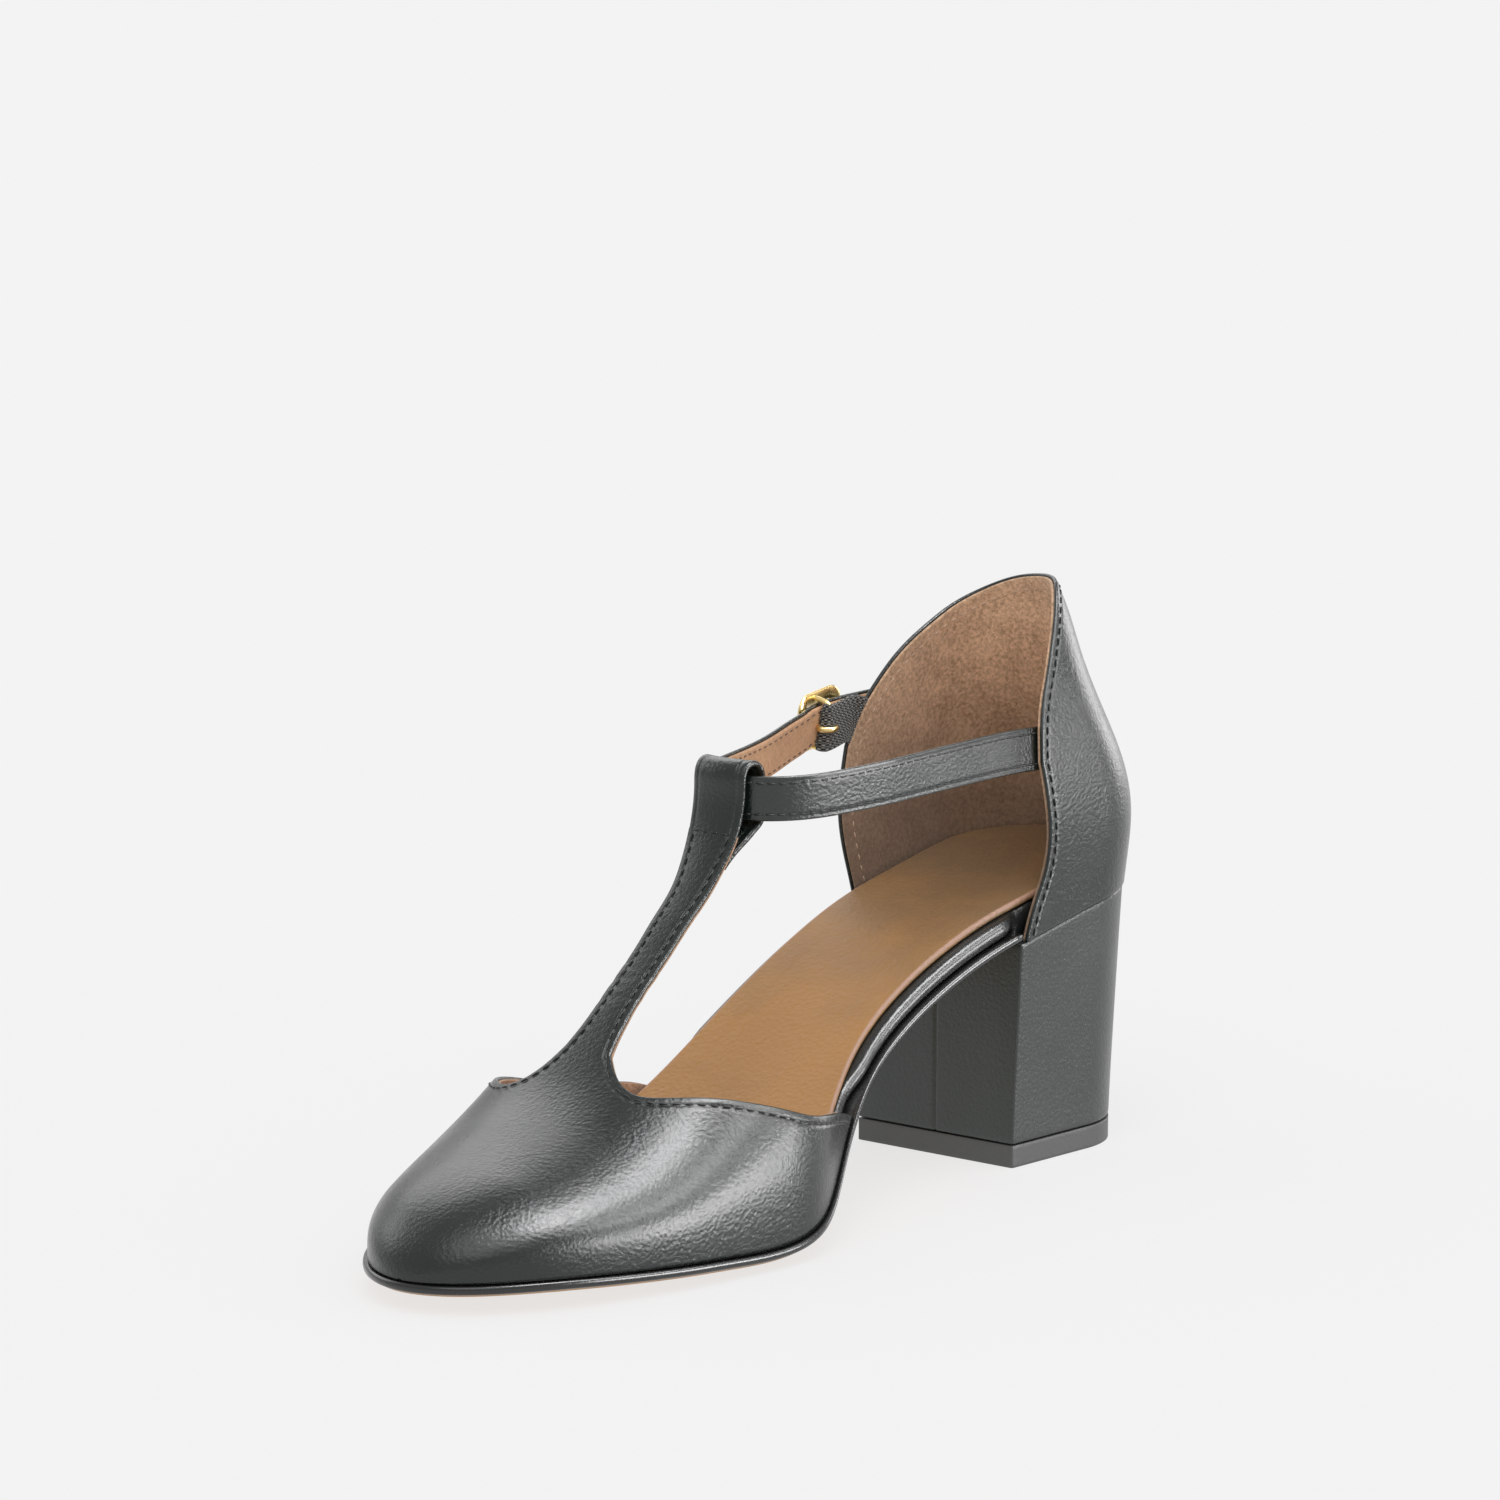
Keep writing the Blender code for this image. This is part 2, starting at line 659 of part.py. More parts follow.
def build_vamp(material):
    """The vamp with its T-bar: one sheet from the last, folded over the ankle strap at its top."""
    nodes, root_start, root_end = throat_nodes()
    columns = len(nodes)
    rows = 24
    share = np.arange(columns) / (columns - 1.0)
    points = []
    for i in range(rows):
        f = 1.0 - math.cos(0.5 * math.pi * i / (rows - 1.0))
        g = smooth_step(f)
        a = EDGE_TIP - (EDGE_TIP - nodes[:, 0]) * f
        turn = share + (nodes[:, 1] - share) * g
        points.append(last_top(a, turn))
    points = np.array(points)
    faces = [tuple(0 if index < columns else index for index in face) for face in grid_faces(rows, columns)]
    flat = points.reshape(-1, 3)

    bar_along = column(T_BAR_LINE, T_BAR_COLUMNS, "along") * LENGTH
    bar_rise = column(T_BAR_LINE, T_BAR_COLUMNS, "rise") * COLLAR_HEIGHT
    bar_half = column(T_BAR_LINE, T_BAR_COLUMNS, "half") * BALL_WIDTH
    crown_back = column(T_BAR_LINE, T_BAR_COLUMNS, "crown_back") * BALL_WIDTH
    crown_down = column(T_BAR_LINE, T_BAR_COLUMNS, "crown_down") * BALL_WIDTH
    across = np.linspace(1.0, -1.0, root_end - root_start + 1)
    middle = float(np.mean(points[-1, [root_start, root_end], 0]))
    path = along_path(np.column_stack([bar_along, bar_rise, bar_half, crown_back, crown_down]), 44)
    bar = []
    for row in path[1:]:
        for w in across:
            y = HEEL_REACH - row[0] + row[3] * w * w
            z = row[1] - row[4] * w * w
            bar.append((middle + row[2] * w, y, z))
    width = len(across)
    offset = len(flat)
    bar = np.array(bar)
    root = [(rows - 1) * columns + j for j in range(root_start, root_end + 1)]
    bar_faces = [(root[j], root[j + 1], offset + j + 1, offset + j) for j in range(width - 1)]
    for i in range(len(path) - 2):
        for j in range(width - 1):
            base = offset + i * width + j
            bar_faces.append((base, base + 1, base + 1 + width, base + width))
    outer = np.concatenate([flat, bar])
    faces = faces + bar_faces
    normals = face_normals(outer, faces)
    normals[:columns] = (0.0, -1.0, 0.0)
    if normals[(rows // 2) * columns + columns // 2][2] < 0.0:
        normals = -normals
        normals[:columns] = (0.0, -1.0, 0.0)
    for j in (0, columns - 1):
        for i in range(rows):
            index = i * columns + j
            normals[index, 2] = 0.0
            normals[index] /= np.linalg.norm(normals[index])
    wall = np.full(len(outer), UPPER_WALL)
    wall[offset:] = T_BAR_THICK
    for k in range(4):
        wall[offset + k * width:offset + (k + 1) * width] = UPPER_WALL + (T_BAR_THICK - UPPER_WALL) * (k + 1) / 5.0
    inner = outer - normals * wall[:, None]
    return thick_sheet("vamp", outer, inner, faces, material)


def front_curve(rows, corner):
    """Points of a front edge of the cup from the sole up to the collar's corner."""
    rows = np.array(rows, float)
    climb = np.linspace(0.0, 1.0, 13)
    turn = spline(climb, rows[:, 1], rows[:, 0])
    foot = float(cup_foot(np.array([turn[0]]))[0])
    return np.column_stack([turn, foot + (corner - foot) * climb])


def build_cup(material):
    """The heel cup: one wall from the seat to the collar, open in front and on top."""
    collar = np.array(COLLAR_LINE, float) * (1.0, COLLAR_HEIGHT)
    scaled = collar * (0.085, 1.0)
    reach = np.concatenate([[0.0], np.cumsum(np.linalg.norm(np.diff(scaled, axis=0), axis=1))])
    columns = 34
    at = np.linspace(0.0, reach[-1], columns)
    top = np.column_stack([spline(at, reach, collar[:, 0]), spline(at, reach, collar[:, 1])])
    medial = front_curve(MEDIAL_FRONT, collar[0, 1])
    lateral = front_curve(LATERAL_FRONT, collar[-1, 1])
    rows = len(medial)
    u = np.linspace(0.0, 1.0, columns)[None, :]
    v = np.linspace(0.0, 1.0, rows)[:, None]
    foot_turn = medial[0, 0] + (lateral[0, 0] - medial[0, 0]) * u[0]
    foot = np.column_stack([foot_turn, cup_foot(foot_turn)])
    patch = []
    for k in range(2):
        sides = (1.0 - u) * medial[:, k][:, None] + u * lateral[:, k][:, None]
        ends = (1.0 - v) * foot[:, k][None, :] + v * top[:, k][None, :]
        corners = (1.0 - u) * (1.0 - v) * foot[0, k] + u * (1.0 - v) * foot[-1, k]
        corners = corners + (1.0 - u) * v * top[0, k] + u * v * top[-1, k]
        patch.append(sides + ends - corners)
    points = cup_face(patch[0], patch[1]).reshape(-1, 3)
    faces = grid_faces(rows, columns)
    normals = face_normals(points, faces)
    if normals[columns // 2][1] < 0.0:
        normals = -normals
    normals[:columns, 2] = 0.0
    normals[:columns] /= np.linalg.norm(normals[:columns], axis=1, keepdims=True)
    inner = points - normals * UPPER_WALL
    return thick_sheet("heel_cup", points, inner, faces, material)


def heel_ring(half, back, heights):
    """Nodes from the medial breast corner round the back to the lateral breast corner."""
    bend = np.linspace(0.5 * np.pi, -0.5 * np.pi, 19)
    run = BREAST - back - half
    straight = np.linspace(1.0, 0.0, 4)[:-1] * run
    x = np.concatenate([np.full(3, half), half * np.sin(bend), np.full(3, -half)])
    a = np.concatenate([back + half + straight, back + half * (1.0 - np.cos(bend)), back + half + straight[::-1]])
    return np.column_stack([x, HEEL_REACH - a, heights(a)])


def heel_solid(name, rings, material):
    """A heel piece from matching rings, with ladder caps and a flat breast."""
    rings = np.array(rings)
    levels, count = rings.shape[:2]
    faces = grid_faces(levels, count)
    for level in range(levels - 1):
        base = level * count
        faces.append((base, base + count, base + 2 * count - 1, base + count - 1))
    for base in (0, (levels - 1) * count):
        for k in range(count // 2):
            faces.append((base + k, base + k + 1, base + count - 2 - k, base + count - 1 - k))
    return add_solid(name, rings.reshape(-1, 3), faces, material)


def build_heel(material):
    """The covered heel block: an upright D, a little wider at the seat."""
    foot = TOP_PIECE_THICK + SEAM_GAP
    seat_half = float(edge_half(np.array([0.045]))[0]) - 0.0001
    rings = []
    for share in np.linspace(0.0, 1.0, 6):
        grow = share ** 1.15
        half = HEEL_FOOT_HALF + (seat_half - HEEL_FOOT_HALF) * grow
        back = HEEL_FOOT_BACK + (EDGE_BACK + 0.0001 - HEEL_FOOT_BACK) * grow

        def heights(a, share=share):
            return foot + (seat_rise(a) - foot) * share

        rings.append(heel_ring(half, back, heights))
    return heel_solid("heel_block", rings, material)


def build_top_piece(material):
    """The heel's rubber top piece, flat on the floor."""
    rings = []
    for z in (0.0, TOP_PIECE_THICK):
        rings.append(heel_ring(HEEL_FOOT_HALF, HEEL_FOOT_BACK, lambda a, z=z: np.full(len(a), z)))
    return heel_solid("heel_top_piece", rings, material)


STRAP_POINTS = np.column_stack([
    column(STRAP_LINE, STRAP_COLUMNS, "side") * BALL_WIDTH,
    HEEL_REACH - column(STRAP_LINE, STRAP_COLUMNS, "along") * LENGTH,
    column(STRAP_LINE, STRAP_COLUMNS, "rise") * COLLAR_HEIGHT,
    column(STRAP_LINE, STRAP_COLUMNS, "lean"),
])


def strap_frame(points):
    """Tangent, outward normal and upward direction along a strap's middle line."""
    tangent = np.gradient(points[:, :3], axis=0)
    tangent /= np.linalg.norm(tangent, axis=1, keepdims=True)
    up = np.column_stack([points[:, 3], np.zeros(len(points)), np.ones(len(points))])
    out = np.cross(up, tangent)
    out /= np.linalg.norm(out, axis=1, keepdims=True)
    up = np.cross(tangent, out)
    return tangent, out, up


def band_solid(name, points, width, thick, material):
    """A flat band with softened edges swept along a middle line."""
    tangent, out, up = strap_frame(points)
    soft = 0.3 * thick
    section = [
        (0.5 * thick - soft, 0.5 * width), (0.5 * thick, 0.5 * width - soft),
        (0.5 * thick, -0.5 * width + soft), (0.5 * thick - soft, -0.5 * width),
        (-0.5 * thick + soft, -0.5 * width), (-0.5 * thick, -0.5 * width + soft),
        (-0.5 * thick, 0.5 * width - soft), (-0.5 * thick + soft, 0.5 * width),
    ]
    rings = np.array([[p[:3] + o * s + u * h for s, h in section] for p, o, u in zip(points, out, up)])
    rows, columns = rings.shape[:2]
    faces = grid_faces(rows, columns, closed=True)
    for base in (0, (rows - 1) * columns):
        faces.append((base, base + 1, base + 2, base + 3))
        faces.append((base + 4, base + 5, base + 6, base + 7))
        faces.append((base, base + 3, base + 4, base + 7))
    return add_solid(name, rings.reshape(-1, 3), faces, material)


def tube(points, radius, closed):
    """Vertices and faces of a round rod along a line of points."""
    points = np.asarray(points, float)
    count = len(points)
    if closed:
        tangent = np.roll(points, -1, axis=0) - np.roll(points, 1, axis=0)
    else:
        tangent = np.gradient(points, axis=0)
    tangent /= np.linalg.norm(tangent, axis=1, keepdims=True)
    side = np.cross(tangent[0], (0.31, 0.17, 0.93))
    side /= np.linalg.norm(side)
    verts = []
    sides = 10
    for i in range(count):
        side = side - tangent[i] * side.dot(tangent[i])
        side /= np.linalg.norm(side)
        other = np.cross(tangent[i], side)
        for k in range(sides):
            angle = 2.0 * np.pi * k / sides
            verts.append(points[i] + radius * (math.cos(angle) * side + math.sin(angle) * other))
    faces = grid_faces(count, sides, closed=True)
    if closed:
        last = (count - 1) * sides
        first = np.array(verts[:sides])
        gaps = [np.linalg.norm(first - np.roll(np.array(verts[last:]), k, axis=0)) for k in range(sides)]
        turn = int(np.argmin(gaps))
        for k in range(sides):
            a0 = last + (k - turn) % sides
            a1 = last + (k + 1 - turn) % sides
            faces.append((a0, a1, (k + 1) % sides, k))
    else:
        faces.append(tuple(range(sides)))
        faces.append(tuple(range((count - 1) * sides, count * sides)))
    return np.array(verts), faces


def buckle_place(points):
    """Origin and directions of the buckle on the strap's middle line."""
    tangent, out, up = strap_frame(points)
    target = HEEL_REACH - BUCKLE_ALONG
    lateral = np.where(points[:, 0] < -0.015)[0]
    index = lateral[np.argmin(np.abs(points[lateral, 1] - target))]
    return points[index, :3], tangent[index], out[index], up[index]


def add_boolean(item, other, operation):
    """An exact Boolean modifier with its own hidden helper."""
    other.hide_render = True
    other.display_type = "WIRE"
    modifier = item.modifiers.new(operation.lower() + "_" + other.name, "BOOLEAN")
    modifier.operation = operation
    modifier.solver = "EXACT"
    modifier.object = other


def build_buckle(points, material):
    """The fastened buckle: a round-cornered frame, its bar behind the strap and the prong in its hole."""
    origin, along, out, up = buckle_place(points)
    half_length = 0.5 * (BUCKLE_LENGTH - BUCKLE_WIRE)
    half_height = 0.5 * (BUCKLE_HEIGHT - BUCKLE_WIRE)
    lift = 0.5 * STRAP_THICK + 2.0 * SEAM_GAP + 0.5 * BUCKLE_WIRE
    corner = 0.0022

    def place(t, u, n):
        return origin + along * t + up * u + out * n

    frame = []
    for ct, cu, start in ((1, 1, 0.0), (-1, 1, 0.5), (-1, -1, 1.0), (1, -1, 1.5)):
        for k in range(5):
            angle = math.pi * (start + 0.125 * k)
            t = ct * (half_length - corner) + corner * math.cos(angle)
            u = cu * (half_height - corner) + corner * math.sin(angle)
            frame.append(place(t + BUCKLE_SHIFT, u, lift - 0.0006 * (t / half_length) ** 2))
    verts, faces = tube(frame, 0.5 * BUCKLE_WIRE, True)
    buckle = add_solid("buckle", verts, faces, material)
    deep = 0.5 * STRAP_THICK + SEAM_GAP + 0.5 * BUCKLE_BAR
    bar = []
    for end in (1.0, -1.0):
        post = [(end * half_height, lift), (end * half_height, 0.0006 - deep), (end * (half_height - 0.0005), -deep)]
        bar += [place(0.0, u, n) for u, n in post[::int(end)]]
    bar.insert(3, place(0.0, 0.0, -deep))
    verts, faces = tube(bar, 0.5 * BUCKLE_BAR, False)
    bar_item = add_solid("buckle_bar_tool", verts, faces, material)
    high = lift + 0.5 * BUCKLE_WIRE + 0.5 * PRONG_WIRE + 0.0001
    prong = [place(0.0, 0.0, -deep), place(-0.0002, 0.0, 0.0), place(-0.0011, 0.0, high - 0.0012)]
    front = BUCKLE_SHIFT - half_length
    prong += [place(-0.0022, 0.0, high - 0.0002), place(0.5 * front - 0.0008, 0.0, high)]
    prong += [place(front - 0.0004, 0.0, high - 0.0006)]
    verts, faces = tube(along_path(prong, 16), 0.5 * PRONG_WIRE, False)
    prong_item = add_solid("buckle_prong_tool", verts, faces, material)
    add_boolean(buckle, bar_item, "UNION")
    add_boolean(buckle, prong_item, "UNION")
    return buckle


def build_strap(material):
    """The ankle strap, with the punched hole that the prong sits in."""
    points = along_path(STRAP_POINTS, 66)
    strap = band_solid("ankle_strap", points, STRAP_WIDTH, STRAP_THICK, material)
    origin, along, out, up = buckle_place(points)
    hole = []
    for t, n in ((0.0006, -0.004), (0.0002, 0.0), (-0.0012, 0.004)):
        hole.append(origin + along * (t - 0.0003) + out * n)
    verts, faces = tube(hole, 0.0015, False)
    hole_item = add_solid("strap_hole_tool", verts, faces, material)
    add_boolean(strap, hole_item, "DIFFERENCE")
    return strap, points


def build_elastic(material):
    """The elastic gore between the buckle's bar and the inside of the lateral cup."""
    rows = np.array(ELASTIC_LINE, float)
    points = np.column_stack([
        rows[:, 0] * BALL_WIDTH, HEEL_REACH - rows[:, 1] * LENGTH, rows[:, 2] * COLLAR_HEIGHT, rows[:, 3],
    ])
    return band_solid("elastic_gore", along_path(points, 14), ELASTIC_WIDTH, ELASTIC_THICK, material)


def main():
    """Build every piece of the shoe."""
    for item in list(bpy.data.objects):
        bpy.data.objects.remove(item, do_unlink=True)
    upper_leather = paint("black_leather", (0.035, 0.037, 0.036), 0.42)
    edge_black = paint("edge_black", (0.02, 0.02, 0.02), 0.5)
    heel_leather = paint("heel_leather", (0.045, 0.048, 0.047), 0.45)
    sock_leather = paint("sock_leather", (0.48, 0.26, 0.12), 0.6)
    rubber = paint("black_rubber", (0.03, 0.03, 0.03), 0.7)
    brass = paint("polished_brass", (0.80, 0.58, 0.25), 0.2, 1.0)
    knit = paint("black_elastic", (0.03, 0.03, 0.03), 0.85)
    build_outsole(edge_black)
    build_board(upper_leather)
    build_sock(sock_leather)
    build_heel(heel_leather)
    build_top_piece(rubber)
    build_vamp(upper_leather)
    build_cup(upper_leather)
    strap, points = build_strap(upper_leather)
    build_buckle(points, brass)
    build_elastic(knit)


main()
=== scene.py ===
# %% [markdown]
# A T-strap shoe with a block heel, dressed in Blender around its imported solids.
# The solids come in as a fixed frame. Each one gets a finer surface here: leather with a folded
# edge and a lining, stitches, a grained sock, inked sole edges, a brass buckle and knitted elastic.
# Everything is in metres: the toe points to -Y, the inner (medial) side to +X, up is +Z.

# %% Load the frame
import math
import bpy
import bmesh
import numpy as np
from mathutils import Matrix, Vector


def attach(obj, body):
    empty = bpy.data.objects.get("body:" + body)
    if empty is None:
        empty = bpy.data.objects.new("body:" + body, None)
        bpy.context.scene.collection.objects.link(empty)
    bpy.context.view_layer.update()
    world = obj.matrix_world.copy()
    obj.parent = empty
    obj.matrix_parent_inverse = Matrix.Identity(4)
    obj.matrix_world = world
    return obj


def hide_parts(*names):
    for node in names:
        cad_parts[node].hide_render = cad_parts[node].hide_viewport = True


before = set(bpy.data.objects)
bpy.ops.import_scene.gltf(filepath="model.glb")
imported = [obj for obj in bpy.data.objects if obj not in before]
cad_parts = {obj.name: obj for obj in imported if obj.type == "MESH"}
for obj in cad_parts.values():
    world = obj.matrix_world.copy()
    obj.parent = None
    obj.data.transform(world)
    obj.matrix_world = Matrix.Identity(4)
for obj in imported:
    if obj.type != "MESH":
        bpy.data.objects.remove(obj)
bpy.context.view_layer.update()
print("nodes:", ", ".join(sorted(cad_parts)))

# %% [markdown]
# Shoemakers start from a last, the wooden or plastic form of the foot. The upper is pulled over
# it, so every piece here is worked out from the same few curves of one last.
# A curve is a short table: rows are places along the shoe, columns are heights and widths,
# written as shares of the shoe's length, ball width and collar height.

# %% Named sizes
LENGTH = 0.242
BALL_WIDTH = 0.078
COLLAR_HEIGHT = 0.130
HEEL_REACH = 0.0310
UPPER_WALL = 0.0017
SEAM_GAP = 0.0003
OUTSOLE_THICK = 0.0024
TREAD_CAMBER = 0.0027
SOCK_THICK = 0.0015
SOCK_INSET = 0.0036
SEAT_DROP = 0.0030
BREAST = 0.0557
TOP_PIECE_THICK = 0.0051
HEEL_FOOT_HALF = 0.0226
HEEL_FOOT_BACK = 0.0052
STRAP_THICK = 0.0020
STRAP_WIDTH = 0.0098
T_BAR_THICK = 0.0014
ELASTIC_WIDTH = 0.0112
BUCKLE_HEIGHT = 0.0138
BUCKLE_LENGTH = 0.0150
BUCKLE_WIRE = 0.0019
BUCKLE_BAR = 0.0014
PRONG_WIRE = 0.0011
BUCKLE_ALONG = 0.0668
BUCKLE_SHIFT = 0.0018

# %% Tables
# Sections of the insole from the back of the heel to the tip of the toe.
# along: share of LENGTH from the rearmost point, rise: height as a share of COLLAR_HEIGHT,
# welt: height of the outsole's top face, also a share of COLLAR_HEIGHT,
# centre and half: middle and half width of the last's edge as shares of BALL_WIDTH.
# Columns: along, rise, welt, centre, half.
SOLE_LINE = (
    (0.0000, 0.5394, 0.4940, 0.0000, 0.3247),
    (0.0840, 0.5183, 0.4729, 0.0000, 0.3247),
    (0.1425, 0.4987, 0.4533, 0.0000, 0.3211),
    (0.2011, 0.4754, 0.4300, -0.0024, 0.3174),
    (0.2558, 0.4507, 0.4053, -0.0073, 0.3126),
    (0.3183, 0.4085, 0.3632, -0.0145, 0.3053),
    (0.3768, 0.3547, 0.3094, -0.0218, 0.3029),
    (0.4354, 0.2879, 0.2425, -0.0218, 0.3174),
    (0.4940, 0.2152, 0.1686, 0.0024, 0.3610),
    (0.5526, 0.1497, 0.0981, 0.0400, 0.4252),
    (0.6111, 0.1003, 0.0502, 0.0666, 0.4882),
    (0.6697, 0.0749, 0.0327, 0.0618, 0.5064),
    (0.7283, 0.0683, 0.0345, 0.0569, 0.4979),
    (0.7869, 0.0680, 0.0393, 0.0654, 0.4749),
    (0.8454, 0.0691, 0.0443, 0.0848, 0.4483),
    (0.9118, 0.0756, 0.0494, 0.1066, 0.4313),
    (1.0001, 0.0938, 0.0483, 0.1260, 0.4180),
)

# Top line of the last over toes and instep.
# along and rise as above, side: share of BALL_WIDTH, fullness: exponent of the section.
# Columns: along, rise, side, fullness.
RIDGE_LINE = (
    (0.4823, 0.9304, 0.0485, 1.900),
    (0.5588, 0.6978, 0.0545, 1.900),
    (0.5826, 0.6215, 0.0545, 1.900),
    (0.6111, 0.5466, 0.0545, 1.900),
    (0.6502, 0.4768, 0.0545, 1.950),
    (0.6892, 0.4143, 0.0545, 2.000),
    (0.7166, 0.3678, 0.0545, 2.050),
    (0.7400, 0.3271, 0.0557, 2.100),
    (0.7673, 0.2879, 0.0606, 2.150),
    (0.8064, 0.2501, 0.0703, 2.200),
    (0.8493, 0.2224, 0.0824, 2.250),
    (0.8962, 0.1977, 0.0969, 2.300),
    (0.9431, 0.1832, 0.1115, 2.300),
    (1.0001, 0.1745, 0.1212, 2.300),
)

# Edge of the vamp, from its medial wing over the T-bar's root to its lateral wing.
# turn: share of the half turn from the medial edge over the top to the lateral edge.
# Columns: along, turn.
THROAT_LINE = (
    (0.4881, 0.0000),
    (0.5135, 0.0250),
    (0.5643, 0.0750),
    (0.6287, 0.1444),
    (0.6717, 0.1944),
    (0.7146, 0.2611),
    (0.7408, 0.3222),
    (0.7517, 0.3722),
    (0.7470, 0.4167),
    (0.7334, 0.4544),
    (0.7267, 0.4789),
    (0.7244, 0.5000),
    (0.7259, 0.5278),
    (0.7322, 0.5556),
    (0.7502, 0.5778),
    (0.7619, 0.6111),
    (0.7603, 0.6556),
    (0.7470, 0.7028),
    (0.7263, 0.7556),
    (0.6853, 0.8194),
    (0.6346, 0.8722),
    (0.5760, 0.9278),
    (0.5213, 0.9750),
    (0.4959, 1.0000),
)

# Sections of the heel cup from its foot to its top.
# rise: share of COLLAR_HEIGHT, back: how far the back curve lies from the rearmost point
# as a share of LENGTH, half: half width as a share of BALL_WIDTH.
# Columns: rise, back, half.
CUP_LINE = (
    (0.3489, 0.0152, 0.3162),
    (0.4361, 0.0105, 0.3211),
    (0.5088, 0.0047, 0.3271),
    (0.5743, 0.0008, 0.3295),
    (0.6542, 0.0078, 0.3211),
    (0.7269, 0.0258, 0.3041),
    (0.7996, 0.0473, 0.2787),
    (0.8723, 0.0644, 0.2459),
    (0.9450, 0.0769, 0.2072),
    (1.0177, 0.0957, 0.1720),
)

# Collar of the heel cup from its medial corner over the back to its lateral corner.
# turn: share of a half turn around the cup, medial positive, 0 at the back seam.
# Columns: turn, rise.
COLLAR_LINE = (
    (0.7547, 0.7065),
    (0.7184, 0.7560),
    (0.6621, 0.8105),
    (0.5892, 0.8650),
    (0.4870, 0.9421),
    (0.3820, 0.9842),
    (0.2387, 1.0024),
    (0.0637, 1.0024),
    (-0.1070, 0.9929),
    (-0.3202, 0.9639),
    (-0.5634, 0.9159),
    (-0.7003, 0.8694),
    (-0.7815, 0.8207),
    (-0.8531, 0.7669),
    (-0.9072, 0.7065),
)

# Front edges of the heel cup below the collar's corners.
# climb: share of the way up from the sole to the corner.
# Columns: turn, climb.
MEDIAL_FRONT = (
    (0.8352, 0.000),
    (0.8117, 0.160),
    (0.7735, 0.360),
    (0.7592, 0.580),
    (0.7608, 0.780),
    (0.7547, 1.000),
)
LATERAL_FRONT = (
    (-0.8435, 0.000),
    (-0.8626, 0.160),
    (-0.8945, 0.360),
    (-0.9231, 0.580),
    (-0.9263, 0.780),
    (-0.9072, 1.000),
)

# Middle line of the T-bar from the vamp up, over the ankle strap and down behind it.
# half, crown_back and crown_down: half width and how far the edges bend back and down,
# as shares of BALL_WIDTH.
# Columns: along, rise, half, crown_back, crown_down.
T_BAR_LINE = (
    (0.7244, 0.3547, 0.0836, 0.0061, 0.0079),
    (0.7142, 0.3729, 0.0727, 0.0051, 0.0067),
    (0.7025, 0.3940, 0.0666, 0.0046, 0.0056),
    (0.6775, 0.4354, 0.0630, 0.0040, 0.0046),
    (0.6506, 0.4783, 0.0630, 0.0040, 0.0046),
    (0.6264, 0.5219, 0.0648, 0.0048, 0.0048),
    (0.6010, 0.5663, 0.0691, 0.0061, 0.0051),
    (0.5838, 0.6113, 0.0787, 0.0085, 0.0051),
    (0.5717, 0.6564, 0.0884, 0.0115, 0.0042),
    (0.5662, 0.6942, 0.0921, 0.0139, 0.0018),
    (0.5643, 0.7254, 0.0933, 0.0145, 0.0000),
    (0.5635, 0.7502, 0.0933, 0.0145, 0.0000),
    (0.5590, 0.7665, 0.0933, 0.0145, 0.0000),
    (0.5490, 0.7742, 0.0933, 0.0145, 0.0000),
    (0.5387, 0.7665, 0.0933, 0.0145, 0.0000),
    (0.5344, 0.7502, 0.0933, 0.0145, 0.0000),
    (0.5340, 0.7196, 0.0933, 0.0145, 0.0000),
    (0.5340, 0.6876, 0.0933, 0.0145, 0.0000),
    (0.5362, 0.6666, 0.0921, 0.0139, 0.0006),
    (0.5432, 0.6528, 0.0872, 0.0133, 0.0012),
    (0.5510, 0.6397, 0.0824, 0.0121, 0.0018),
    (0.5604, 0.6222, 0.0739, 0.0103, 0.0030),
    (0.5709, 0.5961, 0.0630, 0.0085, 0.0036),
)

# Middle line of the ankle strap from inside the medial cup to its tail outside the lateral cup.
# lean: how far its upper edge leans to +X over its height.
# Columns: side, along, rise, lean.
STRAP_LINE = (
    (0.2623, 0.1464, 0.7240, -0.190),
    (0.2629, 0.1777, 0.7254, -0.190),
    (0.2641, 0.2031, 0.7269, -0.180),
    (0.2738, 0.2402, 0.7291, -0.150),
    (0.2859, 0.2870, 0.7291, -0.100),
    (0.2932, 0.3417, 0.7269, -0.050),
    (0.2908, 0.3964, 0.7225, -0.020),
    (0.2762, 0.4471, 0.7175, 0.000),
    (0.2472, 0.4920, 0.7131, 0.000),
    (0.2023, 0.5248, 0.7116, 0.000),
    (0.1454, 0.5424, 0.7116, 0.000),
    (0.0957, 0.5470, 0.7116, 0.000),
    (0.0472, 0.5483, 0.7116, 0.000),
    (-0.0012, 0.5470, 0.7116, 0.000),
    (-0.0485, 0.5424, 0.7116, 0.000),
    (-0.0957, 0.5291, 0.7116, 0.000),
    (-0.1405, 0.5026, 0.7087, 0.000),
    (-0.1866, 0.4647, 0.7065, 0.020),
    (-0.2278, 0.4217, 0.7087, 0.040),
    (-0.2641, 0.3749, 0.7167, 0.070),
    (-0.2932, 0.3339, 0.7305, 0.110),
    (-0.3114, 0.3026, 0.7429, 0.150),
    (-0.3198, 0.2792, 0.7523, 0.180),
    (-0.3211, 0.2480, 0.7574, 0.190),
    (-0.3162, 0.2206, 0.7603, 0.190),
    (-0.3138, 0.1894, 0.7618, 0.190),
)

# %% [markdown]
# A natural cubic spline draws a smooth curve through the rows of a table. Between two rows it is a
# cubic whose bending, the second derivative, goes evenly from one row's value to the next.

# %% Curves through tables
def scaled(rows, *sizes):
    """The columns of a table, each times the size that its shares belong to."""
    return (np.array(rows, float) * sizes).T


